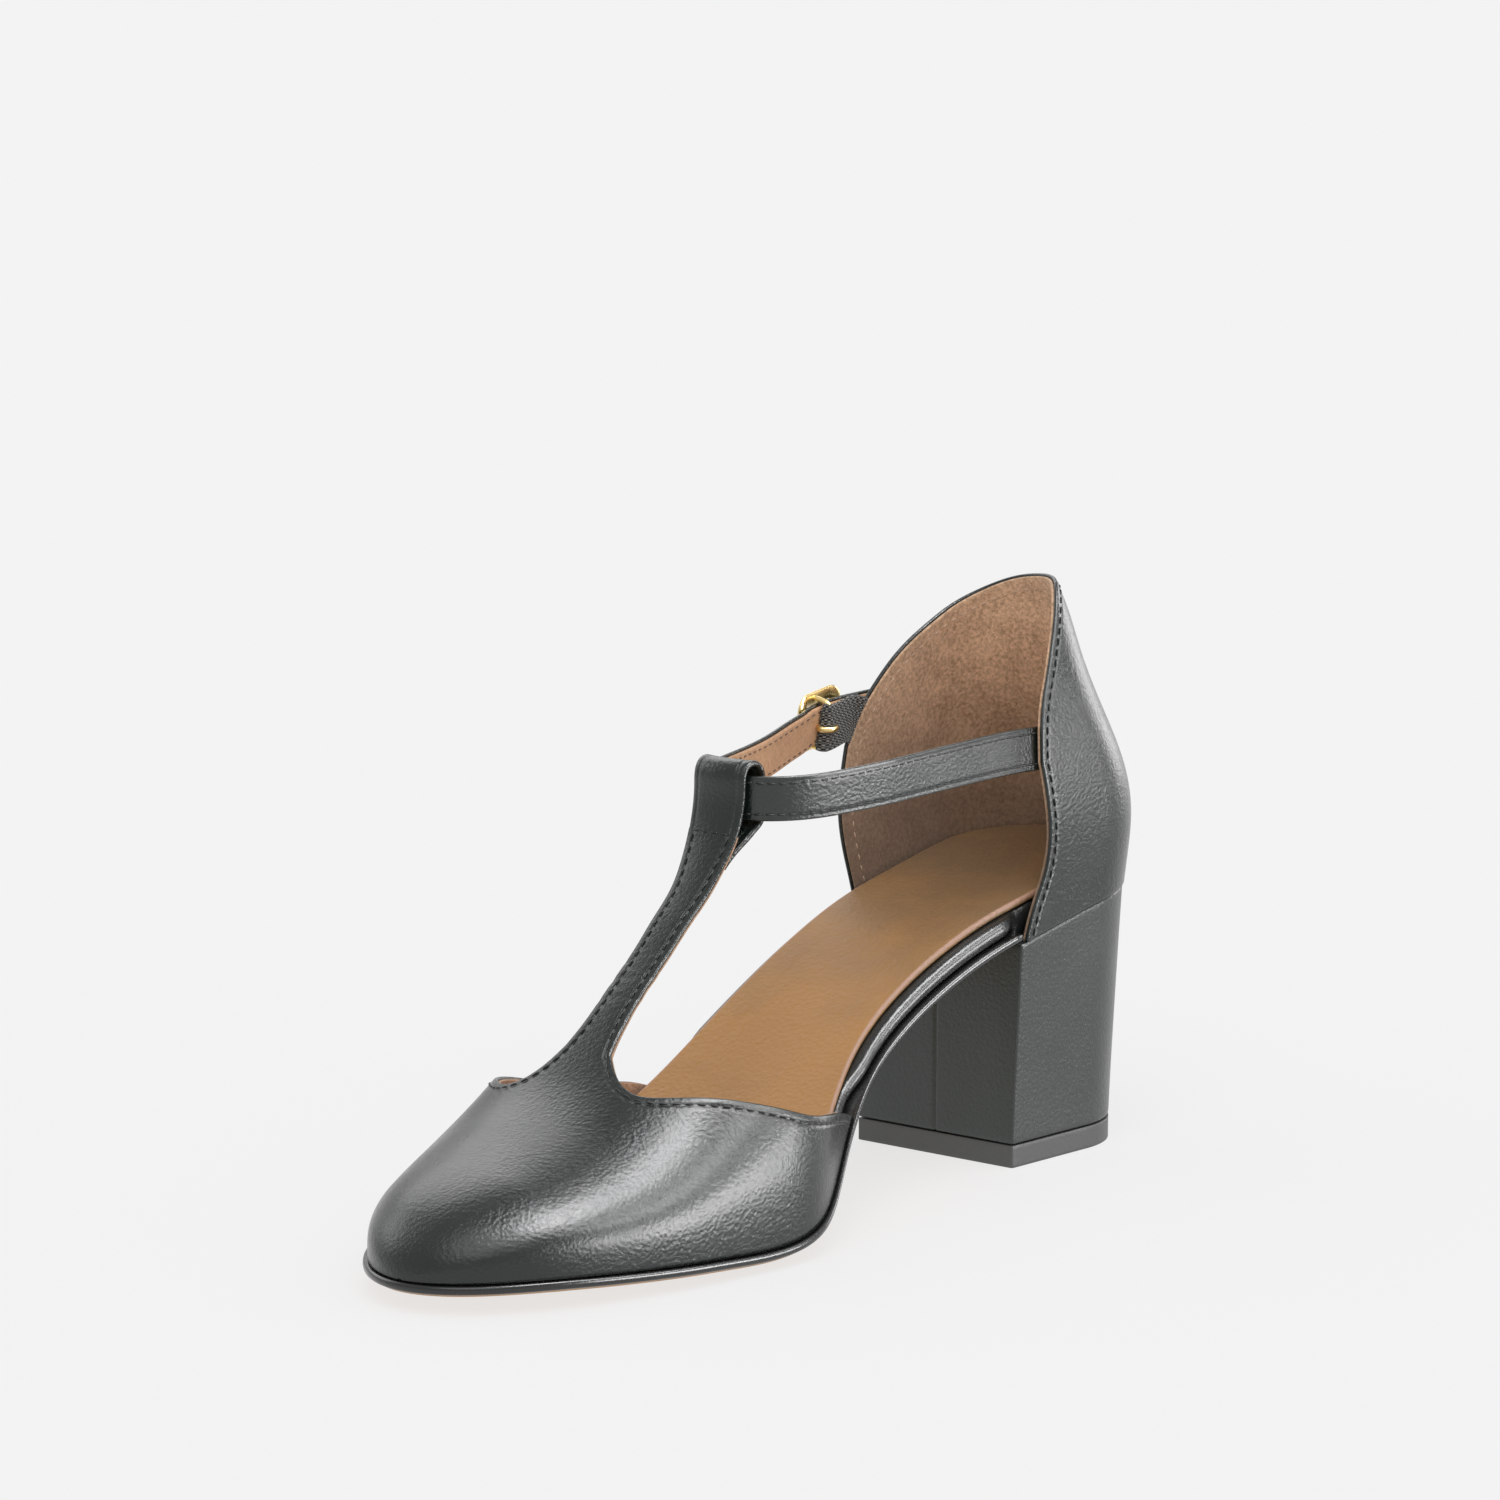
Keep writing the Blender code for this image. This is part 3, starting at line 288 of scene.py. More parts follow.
def spline(at, knots, values):
    """Natural cubic spline through (knots, values), read at the places in at."""
    at = np.asarray(at, float)
    count = len(knots)
    step = np.diff(knots)
    slope = np.diff(values) / step
    matrix = np.zeros((count, count))
    matrix[0, 0] = matrix[-1, -1] = 1.0
    inner = np.arange(1, count - 1)
    matrix[inner, inner - 1] = step[:-1]
    matrix[inner, inner] = 2.0 * (step[:-1] + step[1:])
    matrix[inner, inner + 1] = step[1:]
    right = np.concatenate([[0.0], 6.0 * np.diff(slope), [0.0]])
    bend = np.linalg.solve(matrix, right)
    inside = np.clip(at, knots[0], knots[-1])
    i = np.clip(np.searchsorted(knots, inside, side="right") - 1, 0, count - 2)
    t = inside - knots[i]
    back = knots[i + 1] - inside
    h = step[i]
    curve = (bend[i] * back ** 3 + bend[i + 1] * t ** 3) / (6.0 * h)
    line = (values[i] / h - bend[i] * h / 6.0) * back + (values[i + 1] / h - bend[i + 1] * h / 6.0) * t
    return curve + line


def smooth_step(t):
    """0 to 1 with level ends: 3 t^2 - 2 t^3."""
    t = np.clip(t, 0.0, 1.0)
    return t * t * (3.0 - 2.0 * t)


def round_end(distance, reach, power):
    """1 inside, falling to 0 at the end like a superellipse: (1 - q^p)^(1/p), q = 1 - distance / reach."""
    q = np.clip(1.0 - np.asarray(distance, float) / reach, 0.0, 1.0)
    return (1.0 - q ** power) ** (1.0 / power)


def chord_reach(points):
    """Length walked along a line of points, up to each point."""
    return np.concatenate([[0.0], np.cumsum(np.linalg.norm(np.diff(points, axis=0), axis=1))])


def spline_points(at, reach, points):
    """Every column of a line of points, read from its own spline at the places in at."""
    return np.stack([spline(at, reach, values) for values in points.T], -1)


def along_path(points, count):
    """Points evenly spaced on a smooth curve through the given points."""
    points = np.asarray(points, float)
    reach = chord_reach(points)
    fine = np.linspace(0.0, reach[-1], 40 * len(points))
    walked = chord_reach(spline_points(fine, reach, points)[:, :3])
    at = np.interp(np.linspace(0.0, 1.0, count), walked / walked[-1], fine)
    return spline_points(at, reach, points)


SOLE_ALONG, SOLE_RISE, SOLE_WELT, SOLE_CENTRE, SOLE_HALF = scaled(
    SOLE_LINE, LENGTH, COLLAR_HEIGHT, COLLAR_HEIGHT, BALL_WIDTH, BALL_WIDTH)
RIDGE_ALONG, RIDGE_RISE, RIDGE_SIDE, RIDGE_FULL = scaled(RIDGE_LINE, LENGTH, COLLAR_HEIGHT, BALL_WIDTH, 1.0)
CUP_RISE, CUP_BACK, CUP_HALF = scaled(CUP_LINE, COLLAR_HEIGHT, LENGTH, BALL_WIDTH)
EDGE_BACK = 0.0098 * LENGTH
EDGE_TIP = 0.9957 * LENGTH
HEEL_ROUND = 0.105 * LENGTH
TOE_ROUND = 0.242 * LENGTH
BOX_ROUND = 0.102 * LENGTH
TOE_POWER = 1.95
SIDE_BULGE = 0.020 * BALL_WIDTH
BULGE_SINE = 0.35
BULGE_SPREAD = 0.28
TREAD_START = 0.49 * LENGTH
TREAD_GROW = 0.10 * LENGTH
TREAD_FADE = 0.12 * LENGTH
print("curves:", len(SOLE_ALONG), "rows of the sole,", len(RIDGE_ALONG), "of the ridge,",
      len(CUP_RISE), "of the cup")

# %% [markdown]
# The last in formulas. Its bottom is the sole's edge: a middle line plus and minus a half width
# that closes round at heel and toe. Its top is a half superellipse over each section,
# x = side + reach |cos|^(2/n) and z = foot + height sin^(2/n), which is a little squarer than a circle.
# The heel cup is a half circle at the back with straight sides, at each height.

# %% The last
def sock_rise(a):
    """Height of the sock at the distance a from the rearmost point."""
    return spline(a, SOLE_ALONG, SOLE_RISE)


def edge_centre(a):
    """Middle of the last's edge."""
    return spline(a, SOLE_ALONG, SOLE_CENTRE)


def edge_half(a):
    """Half width of the last's edge: the table's width times a round toe and a round heel."""
    toe = round_end(EDGE_TIP - a, TOE_ROUND, TOE_POWER)
    heel = round_end(a - EDGE_BACK, HEEL_ROUND, 2.0)
    return spline(a, SOLE_ALONG, SOLE_HALF) * toe * heel


def outsole_top(a):
    """Height of the outsole's top face."""
    return spline(a, SOLE_ALONG, SOLE_WELT)


def outsole_foot(a, inward):
    """Height of the underside: inward 0 at its edge, 1 in the middle, flat on the floor there."""
    fore = smooth_step((a - TREAD_START) / TREAD_GROW) * smooth_step((EDGE_TIP - a) / TREAD_FADE)
    return np.maximum(outsole_top(a) - OUTSOLE_THICK - TREAD_CAMBER * fore * inward, 0.0)


def seat_rise(a):
    """Height of the heel block's top face."""
    return outsole_top(a) - SEAT_DROP


def last_top(a, turn):
    """Outer face of the vamp: turn 0 at the medial edge, 1 at the lateral edge."""
    angle = np.pi * turn
    foot = outsole_top(a) + SEAM_GAP
    height = (spline(a, RIDGE_ALONG, RIDGE_RISE) - foot) * round_end(EDGE_TIP - a, BOX_ROUND, 2.0)
    side = spline(a, RIDGE_ALONG, RIDGE_SIDE)
    n = spline(a, RIDGE_ALONG, RIDGE_FULL)
    cosine = np.cos(angle)
    sine = np.clip(np.sin(angle), 0.0, 1.0)
    medial_reach = edge_centre(a) + edge_half(a) - side
    lateral_reach = side - edge_centre(a) + edge_half(a)
    reach = np.where(cosine >= 0.0, medial_reach, lateral_reach)
    bulge = SIDE_BULGE * round_end(EDGE_TIP - a, TOE_ROUND * 0.5, 2.0)
    low = np.exp(-((sine - BULGE_SINE) / BULGE_SPREAD) ** 2) * np.sign(cosine) * np.sqrt(sine)
    x = side + np.sign(cosine) * reach * np.abs(cosine) ** (2.0 / n) + bulge * low
    return np.stack([x, HEEL_REACH - a + 0.0 * x, foot + height * sine ** (2.0 / n)], -1)


def cup_face(turn, z):
    """Outer face of the heel cup: an arc of half a turn at the back, then straight sides."""
    angle = np.pi * turn
    half = spline(z, CUP_RISE, CUP_HALF)
    bent = np.clip(np.abs(angle), 0.0, 0.5 * np.pi)
    run = np.abs(angle) - bent
    a = spline(z, CUP_RISE, CUP_BACK) + half * (1.0 - np.cos(bent)) + half * run
    return np.stack([half * np.sin(bent) * np.sign(angle), HEEL_REACH - a, z + 0.0 * a], -1)


def cup_foot(turn):
    """Height of the cup's lower edge, found by a few rounds of z = seat(y(z))."""
    z = np.full(np.shape(turn), 0.42 * COLLAR_HEIGHT)
    for _ in range(6):
        z = seat_rise(HEEL_REACH - cup_face(turn, z)[..., 1]) + SEAM_GAP
    return z


print("toe height", round(float(last_top(np.array([0.85 * LENGTH]), np.array([0.5]))[0, 2]) * 1000, 1), "mm")

# %% [markdown]
# Meshes. A surface is a grid of points, so its faces are the grid's cells. A layer of leather is that
# surface, a copy moved in along the normals, and a rim between them. The rim is a half circle, since
# a folded leather edge is round: point = middle + t/2 cos(s) normal + puff sin(s) outward.

# %% Mesh helpers
def grid_faces(rows, columns, closed=False):
    """Cells of a grid of rows x columns points, as an array of four indices each."""
    last = columns if closed else columns - 1
    i = np.arange(rows - 1)[:, None] * columns
    j = np.arange(last)[None, :]
    k = (j + 1) % columns
    return np.stack([i + j, i + k, i + columns + k, i + columns + j], -1).reshape(-1, 4)


def vertex_normals(points, faces):
    """Area-weighted normals: the sum of the cross products of each face's diagonals."""
    corner = points[faces]
    cross = np.cross(corner[:, 2] - corner[:, 0], corner[:, 3] - corner[:, 1])
    total = np.zeros_like(points)
    for k in range(4):
        np.add.at(total, faces[:, k], cross)
    return total / np.maximum(np.linalg.norm(total, axis=1, keepdims=True), 1e-12)


def open_edges(faces, count):
    """Directed edges that only one face uses."""
    edges = np.concatenate([faces[:, [k, (k + 1) % 4]] for k in range(4)])
    edges = edges[edges[:, 0] != edges[:, 1]]
    forward = edges[:, 0] * count + edges[:, 1]
    backward = edges[:, 1] * count + edges[:, 0]
    return edges[~np.isin(forward, backward)]


def nearest(points, targets):
    """Index of the nearest target and its distance, for each point, in slices that fit in memory."""
    index = np.empty(len(points), int)
    gap = np.empty(len(points))
    points, targets = np.asarray(points, float), np.asarray(targets, float)
    far = (targets ** 2).sum(1)[None, :]
    for start in range(0, len(points), 1500):
        part = points[start:start + 1500]
        square = (part ** 2).sum(1)[:, None] + far - 2.0 * part @ targets.T
        index[start:start + 1500] = square.argmin(1)
        gap[start:start + 1500] = np.linalg.norm(part - targets[index[start:start + 1500]], axis=1)
    return index, gap


def make_piece(name, points, faces, materials, part=None, slot="black_leather", node=None):
    """A mesh object from arrays, welded where points meet, that rides on the shoe.

    part holds a material number for each face; node names the solid that the piece stands for.
    """
    mesh = bpy.data.meshes.new(name)
    mesh.from_pydata(np.asarray(points, float).tolist(), [], np.asarray(faces).tolist())
    for material in materials:
        mesh.materials.append(material)
    if part is not None:
        mesh.polygons.foreach_set("material_index", np.asarray(part, np.int32))
    mesh.polygons.foreach_set("use_smooth", np.ones(len(mesh.polygons), bool))
    item = bpy.data.objects.new(name, mesh)
    bpy.context.scene.collection.objects.link(item)
    weld(item)
    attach(item, "root")
    if node:
        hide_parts(node)
    return item


def weld(item):
    """Joins points that meet and drops faces of no area, such as those at a pole."""
    bm = bmesh.new()
    bm.from_mesh(item.data)
    bmesh.ops.remove_doubles(bm, verts=bm.verts, dist=2e-6)
    bmesh.ops.dissolve_degenerate(bm, edges=bm.edges, dist=1e-7)
    bm.to_mesh(item.data)
    bm.free()


def own_points(item):
    """Positions of a piece's vertices, as an array."""
    own = np.empty(len(item.data.vertices) * 3, np.float32)
    item.data.vertices.foreach_get("co", own)
    return own.reshape(-1, 3)


def store_value(item, name, values):
    """Stores one value per vertex under a name that a material reads."""
    attribute = item.data.attributes.new(name, "FLOAT", "POINT")
    attribute.data.foreach_set("value", np.asarray(values, np.float32))


def edge_gap(item, targets):
    """Stores on each vertex its distance to the free edge, in metres, as the value edge."""
    _, gap = nearest(own_points(item), np.asarray(targets, np.float32))
    store_value(item, "edge", gap)


print("helpers ready")

# %% [markdown]
# The last's edge seen from above can be moved out or in along its own normal, as a pattern cutter
# adds a seam allowance. Stations stand closer together where an outline closes round.

# %% Flat pieces
def offset_edge(a, grow):
    """Medial and lateral edge of the last from above, moved out by grow along its normal."""
    half = edge_half(a)
    sides = []
    for sign in (1.0, -1.0):
        x = edge_centre(a) + sign * half
        y = HEEL_REACH - a
        dx = np.gradient(x, edge_order=2)
        dy = np.gradient(y, edge_order=2)
        if half[-1] < 1e-5:
            dx[-1], dy[-1] = -sign, 0.0
        if half[0] < 1e-5:
            dx[0], dy[0] = sign, 0.0
        size = np.hypot(dx, dy)
        sides.append(np.stack([x - dy / size * sign * grow, y + dx / size * sign * grow], -1))
    return sides


def walk_stations(start, end, count, round_start, round_finish):
    """Stations along the shoe, spaced like a cosine towards each round end."""
    t = np.linspace(0.0, 1.0, count)
    if round_start and round_finish:
        t = 0.5 - 0.5 * np.cos(np.pi * t)
    elif round_finish:
        t = np.sin(0.5 * np.pi * t)
    elif round_start:
        t = 1.0 - np.cos(0.5 * np.pi * t)
    return start + (end - start) * t


def plate_rings(sides, profile, top, bottom, across):
    """Closed rings of a flat piece: over the top, down one edge, along the bottom, up the other edge.

    profile holds (grow, height function) pairs from the top inner point to the bottom inner point.
    top and bottom give the height at (points, share of the way across).
    """
    edges = [[np.column_stack([side, height(side)]) for side in sides(grow)] for grow, height in profile]
    medial = [pair[0] for pair in edges]
    lateral = [pair[1] for pair in edges]
    share = np.linspace(0.0, 1.0, across + 2)[1:-1]
    over = [lateral[0] + (medial[0] - lateral[0]) * s for s in share]
    under = [medial[-1] + (lateral[-1] - medial[-1]) * s for s in share]
    for s, points in zip(share, over):
        points[:, 2] = top(points, s)
    for s, points in zip(share, under):
        points[:, 2] = bottom(points, s)
    return np.stack(over + medial + under + lateral[::-1], 1)


def close_rings(rings):
    """Rings with a middle point added before the first and after the last, so both ends are shut."""
    first = np.repeat(rings[0].mean(0)[None, None], rings.shape[1], 1)
    final = np.repeat(rings[-1].mean(0)[None, None], rings.shape[1], 1)
    return np.concatenate([first, rings, final])


def ring_mesh(rings):
    """Points and faces of a stack of closed rings."""
    return rings.reshape(-1, 3), grid_faces(rings.shape[0], rings.shape[1], closed=True)


def ring_piece(name, rings, materials, turned=False, **places):
    """A piece made from closed rings; turned flips its faces, for rings that run the other way round."""
    points, faces = ring_mesh(rings)
    return make_piece(name, points, faces[:, ::-1] if turned else faces, materials, **places)


def rounded(profile, count):
    """A profile of (grow, share) pairs redrawn with more points along a smooth curve."""
    pairs = np.column_stack([np.array(profile, float), np.zeros(len(profile))])
    return along_path(pairs * (1000.0, 1.0, 1.0), count)[:, :2] / (1000.0, 1.0)


print("edge of the last at the ball:", np.round(edge_half(np.array([0.67 * LENGTH])) * 2000, 1), "mm wide")

# %% [markdown]
# Finishes. Leather is a dark base under a satin gloss. Its grain is a net of small rounded cells
# (Voronoi) with a fine noise on top, pushed into the normals by Bump nodes.
# The stored value called edge is the distance to the folded edge. A groove in the bump sits where
# the row of stitches pulls the leather down.

# %% Materials
# Painted shade for the heel cup's lining: it darkens towards this colour from the upper height down to the
# lower one, where shade falls low inside the cup.
PAINTED_SHADE_TOP = 0.104
PAINTED_SHADE_FOOT = 0.074
PAINTED_SHADE_COLOUR = (0.10, 0.07, 0.05)
GROOVE_WIDTH = 0.00045
GROOVE_DEPTH = 0.00019
HAND_WAVES = 55.0
SOCK_BROWN_FROM = -0.075
SOCK_BROWN_TO = -0.005
CHANNEL_AT = 0.0085
CHANNEL_WIDTH = 0.0012
CHANNEL_DEPTH = 0.00007
CUT_EDGE = (0.0004, 0.0009)
SOCK_SWELL = 0.0008
SOCK_GRAIN = 0.00019
WAVE_DEPTH = 0.00012
NAP_DEPTH = 0.00012
FUZZ_DEPTH = 0.00008
GROOVE_AT = 0.0021
BLACK_DYE = (0.0082, 0.0138, 0.0118)


def principled(name, colour, rough, metal=0.0, coat=0.0):
    """A Principled material; returns it with its node tree and shader."""
    material = bpy.data.materials.new(name)
    material.use_nodes = True
    shader = material.node_tree.nodes["Principled BSDF"]
    shader.inputs["Base Color"].default_value = (*colour, 1.0)
    shader.inputs["Roughness"].default_value = rough
    shader.inputs["Metallic"].default_value = metal
    shader.inputs["Coat Weight"].default_value = coat
    shader.inputs["Coat Roughness"].default_value = 0.18
    material.diffuse_color = (*colour, 1.0)
    return material, material.node_tree, shader


def add_node(tree, kind, sockets=None, **settings):
    """A node with its settings and its input sockets filled; a socket value may be another socket."""
    made = tree.nodes.new(kind)
    for key, value in settings.items():
        setattr(made, key, value)
    for key, value in (sockets or {}).items():
        if isinstance(value, bpy.types.NodeSocket):
            tree.links.new(value, made.inputs[key])
        else:
            made.inputs[key].default_value = value
    return made


def object_coords(tree):
    """Position in metres, in the piece's own space."""
    return add_node(tree, "ShaderNodeTexCoord").outputs["Object"]


def math_node(tree, operation, first, second=0.0):
    """One Math node."""
    return add_node(tree, "ShaderNodeMath", {0: first, 1: second}, operation=operation).outputs[0]


def stored(tree, name):
    """A value kept on the vertices under a name."""
    return add_node(tree, "ShaderNodeAttribute", attribute_name=name).outputs["Fac"]


def noise(tree, coords, scale, detail=2.0, rough=0.5, read="Fac"):
    """Noise with about one blob per 1/scale metre."""
    sockets = {"Vector": coords, "Scale": scale, "Detail": detail, "Roughness": rough}
    return add_node(tree, "ShaderNodeTexNoise", sockets).outputs[read]


def cells(tree, coords, scale):
    """Distance to the middle of the nearest of many rounded cells, about 1/scale metre wide."""
    sockets = {"Vector": coords, "Scale": scale}
    return add_node(tree, "ShaderNodeTexVoronoi", sockets, feature="SMOOTH_F1").outputs["Distance"]


def bump(tree, height, depth, strength=1.0, below=None):
    """A Bump node of the given depth in metres, laid over another one."""
    sockets = {"Height": height, "Distance": depth, "Strength": strength}
    if below is not None:
        sockets["Normal"] = below
    return add_node(tree, "ShaderNodeBump", sockets).outputs["Normal"]


def blend_colours(tree, share, first, second):
    """A mix by a share from 0 to 1 of two colours; the first may be another node's socket."""
    if not isinstance(first, bpy.types.NodeSocket):
        first = (*first, 1.0)
    sockets = {"Factor": share, 6: first, 7: (*second, 1.0)}
    return add_node(tree, "ShaderNodeMix", sockets, data_type="RGBA").outputs[2]


def map_range(tree, value, low, high, to_low, to_high):
    """Rescales a value and clamps it."""
    sockets = {"Value": value, "From Min": low, "From Max": high, "To Min": to_low, "To Max": to_high}
    return add_node(tree, "ShaderNodeMapRange", sockets).outputs["Result"]


def hill(tree, value, middle, width):
    """exp(-((value - middle) / width)^2): a soft line around one value."""
    step = math_node(tree, "DIVIDE", math_node(tree, "SUBTRACT", value, middle), width)
    square = math_node(tree, "MULTIPLY", step, step)
    return math_node(tree, "EXPONENT", math_node(tree, "MULTIPLY", square, -1.0))


def leather(name, colour, rough, cell, depth, groove_at=GROOVE_AT, coat=0.0):
    """Grained leather: cell is the size of a grain and depth its relief, both in metres."""
    material, tree, shader = principled(name, colour, rough, coat=coat)
    coords = object_coords(tree)
    drift = noise(tree, coords, 0.35 / cell, read="Color")
    sockets = {0: drift, 1: (cell, cell, cell), 2: coords}
    bent = add_node(tree, "ShaderNodeVectorMath", sockets, operation="MULTIPLY_ADD").outputs[0]
    fine = noise(tree, coords, 3.2 / cell, 3.0, 0.6)
    height = math_node(tree, "ADD", cells(tree, bent, 1.0 / cell), math_node(tree, "MULTIPLY", fine, 0.55))
    slow = noise(tree, coords, HAND_WAVES)
    groove = math_node(tree, "SUBTRACT", 1.0, hill(tree, stored(tree, "edge"), groove_at, GROOVE_WIDTH))
    normal = bump(tree, groove, GROOVE_DEPTH)
    normal = bump(tree, slow, WAVE_DEPTH, 0.5, normal)
    normal = bump(tree, height, depth, 1.0, normal)
    tree.links.new(normal, shader.inputs["Normal"])
    tree.links.new(map_range(tree, slow, 0.3, 0.7, rough - 0.04, rough + 0.05), shader.inputs["Roughness"])
    return material


def suede(name, light, dark, rough, painted_shade=0.0):
    """Napped lining leather: fine blotches of two close colours.

    painted_shade is how much painted shade darkens it low in the cup: none at the height PAINTED_SHADE_TOP,
    full at PAINTED_SHADE_FOOT and below.
    """
    material, tree, shader = principled(name, light, rough)
    coords = object_coords(tree)
    fine = noise(tree, coords, 1100.0, 5.0, 0.75)
    broad = noise(tree, coords, 130.0, 3.0)
    both = math_node(tree, "ADD", fine, math_node(tree, "MULTIPLY", broad, 0.3))
    share = map_range(tree, both, 0.52, 0.78, 0.0, 1.0)
    body = blend_colours(tree, share, dark, light)
    # Painted shade: the lining is darkened towards its foot, where little light reaches inside the cup.
    if painted_shade > 0.0:
        height = add_node(tree, "ShaderNodeSeparateXYZ", {0: coords}).outputs["Z"]
        shade = map_range(tree, height, PAINTED_SHADE_TOP, PAINTED_SHADE_FOOT, 0.0, painted_shade)
        body = blend_colours(tree, shade, body, PAINTED_SHADE_COLOUR)
    tree.links.new(body, shader.inputs["Base Color"])
    shader.inputs["Sheen Weight"].default_value = 0.25
    shader.inputs["Specular IOR Level"].default_value = 0.25
    tree.links.new(bump(tree, fine, NAP_DEPTH), shader.inputs["Normal"])
    return material


def sock_finish(name, front, back, cut):
    """Camel leather that grows browner to the heel, with a pressed line along its edge."""
    material, tree, shader = principled(name, front, 0.52)
    shader.inputs["Specular IOR Level"].default_value = 0.3
    coords = object_coords(tree)
    split = add_node(tree, "ShaderNodeSeparateXYZ", {0: coords}).outputs
    share = map_range(tree, split["Y"], SOCK_BROWN_FROM, SOCK_BROWN_TO, 0.0, 1.0)
    slow = noise(tree, coords, 70.0, 3.0)
    mixed = math_node(tree, "ADD", share, map_range(tree, slow, 0.35, 0.65, -0.12, 0.12))
    body = blend_colours(tree, mixed, front, back)
    edge = stored(tree, "edge")
    rim = map_range(tree, edge, *CUT_EDGE, 1.0, 0.0)
    tree.links.new(blend_colours(tree, rim, body, cut), shader.inputs["Base Color"])
    fine = noise(tree, coords, 2600.0, 3.0)
    height = math_node(tree, "ADD", cells(tree, coords, 900.0), math_node(tree, "MULTIPLY", fine, 0.5))
    channel = math_node(tree, "SUBTRACT", 1.0, hill(tree, edge, CHANNEL_AT, CHANNEL_WIDTH))
    normal = bump(tree, channel, CHANNEL_DEPTH)
    normal = bump(tree, slow, SOCK_SWELL, 0.4, normal)
    normal = bump(tree, height, SOCK_GRAIN, 1.0, normal)
    tree.links.new(normal, shader.inputs["Normal"])
    return material


def speckled(name, colour, rough, scale, depth, metal=0.0, coat=0.0):
    """A plain finish with a fine relief, for rubber, inked edges, metal, thread and yarn."""
    material, tree, shader = principled(name, colour, rough, metal, coat)
    coords = object_coords(tree)
    fine = noise(tree, coords, scale, 3.0)
    tree.links.new(bump(tree, fine, depth), shader.inputs["Normal"])
    tree.links.new(map_range(tree, fine, 0.3, 0.7, rough * 0.85, rough * 1.15), shader.inputs["Roughness"])
    return material


def knit(name, low, high):
    """Yarn that is pale grey on the crowns of its loops, its own colour, with painted shade near black in the
    hollows between the loops; the stored value tuft is the relief.
    """
    material, tree, shader = principled(name, high, 0.7)
    # Painted shade: the colour falls to near black where the relief is low, between the loops.
    share = map_range(tree, stored(tree, "tuft"), 0.35, 0.95, 0.0, 1.0)
    tree.links.new(blend_colours(tree, share, low, high), shader.inputs["Base Color"])
    fine = noise(tree, object_coords(tree), 3000.0, 3.0)
    tree.links.new(bump(tree, fine, FUZZ_DEPTH), shader.inputs["Normal"])
    return material


black_leather = leather("black_leather_grain", BLACK_DYE, 0.24, 0.00078, 0.00010, coat=0.14)
strap_leather = leather("strap_leather_grain", BLACK_DYE, 0.22, 0.00070, 0.00011, 0.0015, coat=0.50)
wrap_leather = leather("wrap_leather_grain", (0.0110, 0.0140, 0.0130), 0.28, 0.00090, 0.00007, coat=0.15)
heel_leather = leather("heel_leather_grain", (0.0320, 0.0400, 0.0370), 0.34, 0.00080, 0.00009, coat=0.1)
lining = suede("peach_lining", (0.78, 0.50, 0.33), (0.46, 0.27, 0.16), 0.85)
# The heel cup's lining gets painted shade low down inside the cup.
cup_lining = suede("heel_lining", (0.90, 0.60, 0.39), (0.46, 0.28, 0.17), 0.85, 0.74)
strap_lining = suede("strap_lining", (0.80, 0.47, 0.26), (0.60, 0.32, 0.16), 0.75)
sock_leather = sock_finish("camel_sock", (0.51, 0.255, 0.078), (0.24, 0.155, 0.085), (0.55, 0.32, 0.22))
edge_ink = speckled("inked_edge", (0.010, 0.011, 0.011), 0.26, 700.0, 0.00004, coat=0.3)
sole_leather = speckled("sole_leather", (0.46, 0.29, 0.17), 0.6, 900.0, 0.00005)
rubber = speckled("heel_rubber", (0.080, 0.084, 0.081), 0.5, 1200.0, 0.00005)
brass = speckled("bright_brass", (0.82, 0.63, 0.28), 0.30, 250.0, 0.00001, metal=1.0)
black_thread = speckled("black_thread", (0.008, 0.009, 0.009), 0.55, 4000.0, 0.00003)
pale_thread = speckled("pale_thread", (0.60, 0.42, 0.30), 0.7, 4000.0, 0.00003)
brown_thread = speckled("brown_thread", (0.10, 0.055, 0.030), 0.7, 4000.0, 0.00003)
# The elastic's near-black colour is painted shade between the loops; the grey is the yarn's own.
yarn = knit("elastic_yarn", (0.003, 0.003, 0.003), (0.340, 0.345, 0.330))
print("materials:", len(bpy.data.materials))

# %% [markdown]
# The vamp covers the toes, and its T-bar is cut in one piece with it. On the last it starts at the
# tip of the toe, a pole of the grid, and ends at the throat. Each column runs from the tip to one place
# on the throat. The bar goes on from the root, up over the ankle strap and down behind it.
# The upper is two layers, as on the real shoe: leather outside, with its edge folded, and a thin
# lining inside, whose edge ends level with the fold. The strip that makes the loop has no lining.

# %% Vamp surface
LEATHER_SKIN = 0.00095
LINING_SKIN = 0.00065
LINING_START = UPPER_WALL - LINING_SKIN
THROAT_WEIGHT = 0.110
ROOT_FROM = 0.43
ROOT_TO = 0.57
BAR_ACROSS = 17
BAR_ROWS = 190
VAMP_ROWS = 96
SIDE_COLUMNS = 58
BAR_BLEND = 0.007
TAIL_LENGTH = 0.009
TAIL_PRESS = 0.0010
FOLD_SKEW = 0.0012
FOLD_DEPTH = 0.00008
FOLD_WIDTH = 0.00090
FOLD_PLACES = (0.0105, 0.0132, 0.0163, 0.0190)


def throat_nodes(side_count):
    """Places on the vamp's edge (along, turn) and the two columns where the T-bar's root begins and ends."""
    rows = np.array(THROAT_LINE, float)
    root = np.nonzero((rows[:, 1] >= ROOT_FROM) & (rows[:, 1] <= ROOT_TO))[0]

    def run(part, count):
        reach = chord_reach(part * (LENGTH, THROAT_WEIGHT))
        return spline_points(np.linspace(0.0, reach[-1], count), reach, part)

    medial = run(rows[:root[0] + 1], side_count)
    middle = run(rows[root[0]:root[-1] + 1], BAR_ACROSS)
    lateral = run(rows[root[-1]:], side_count)
    nodes = np.concatenate([medial[:-1], middle, lateral[1:]])
    nodes[:, 0] *= LENGTH
    nodes[:, 1] = np.clip(nodes[:, 1], 0.0, 1.0)
    return nodes, side_count - 1, side_count + BAR_ACROSS - 2


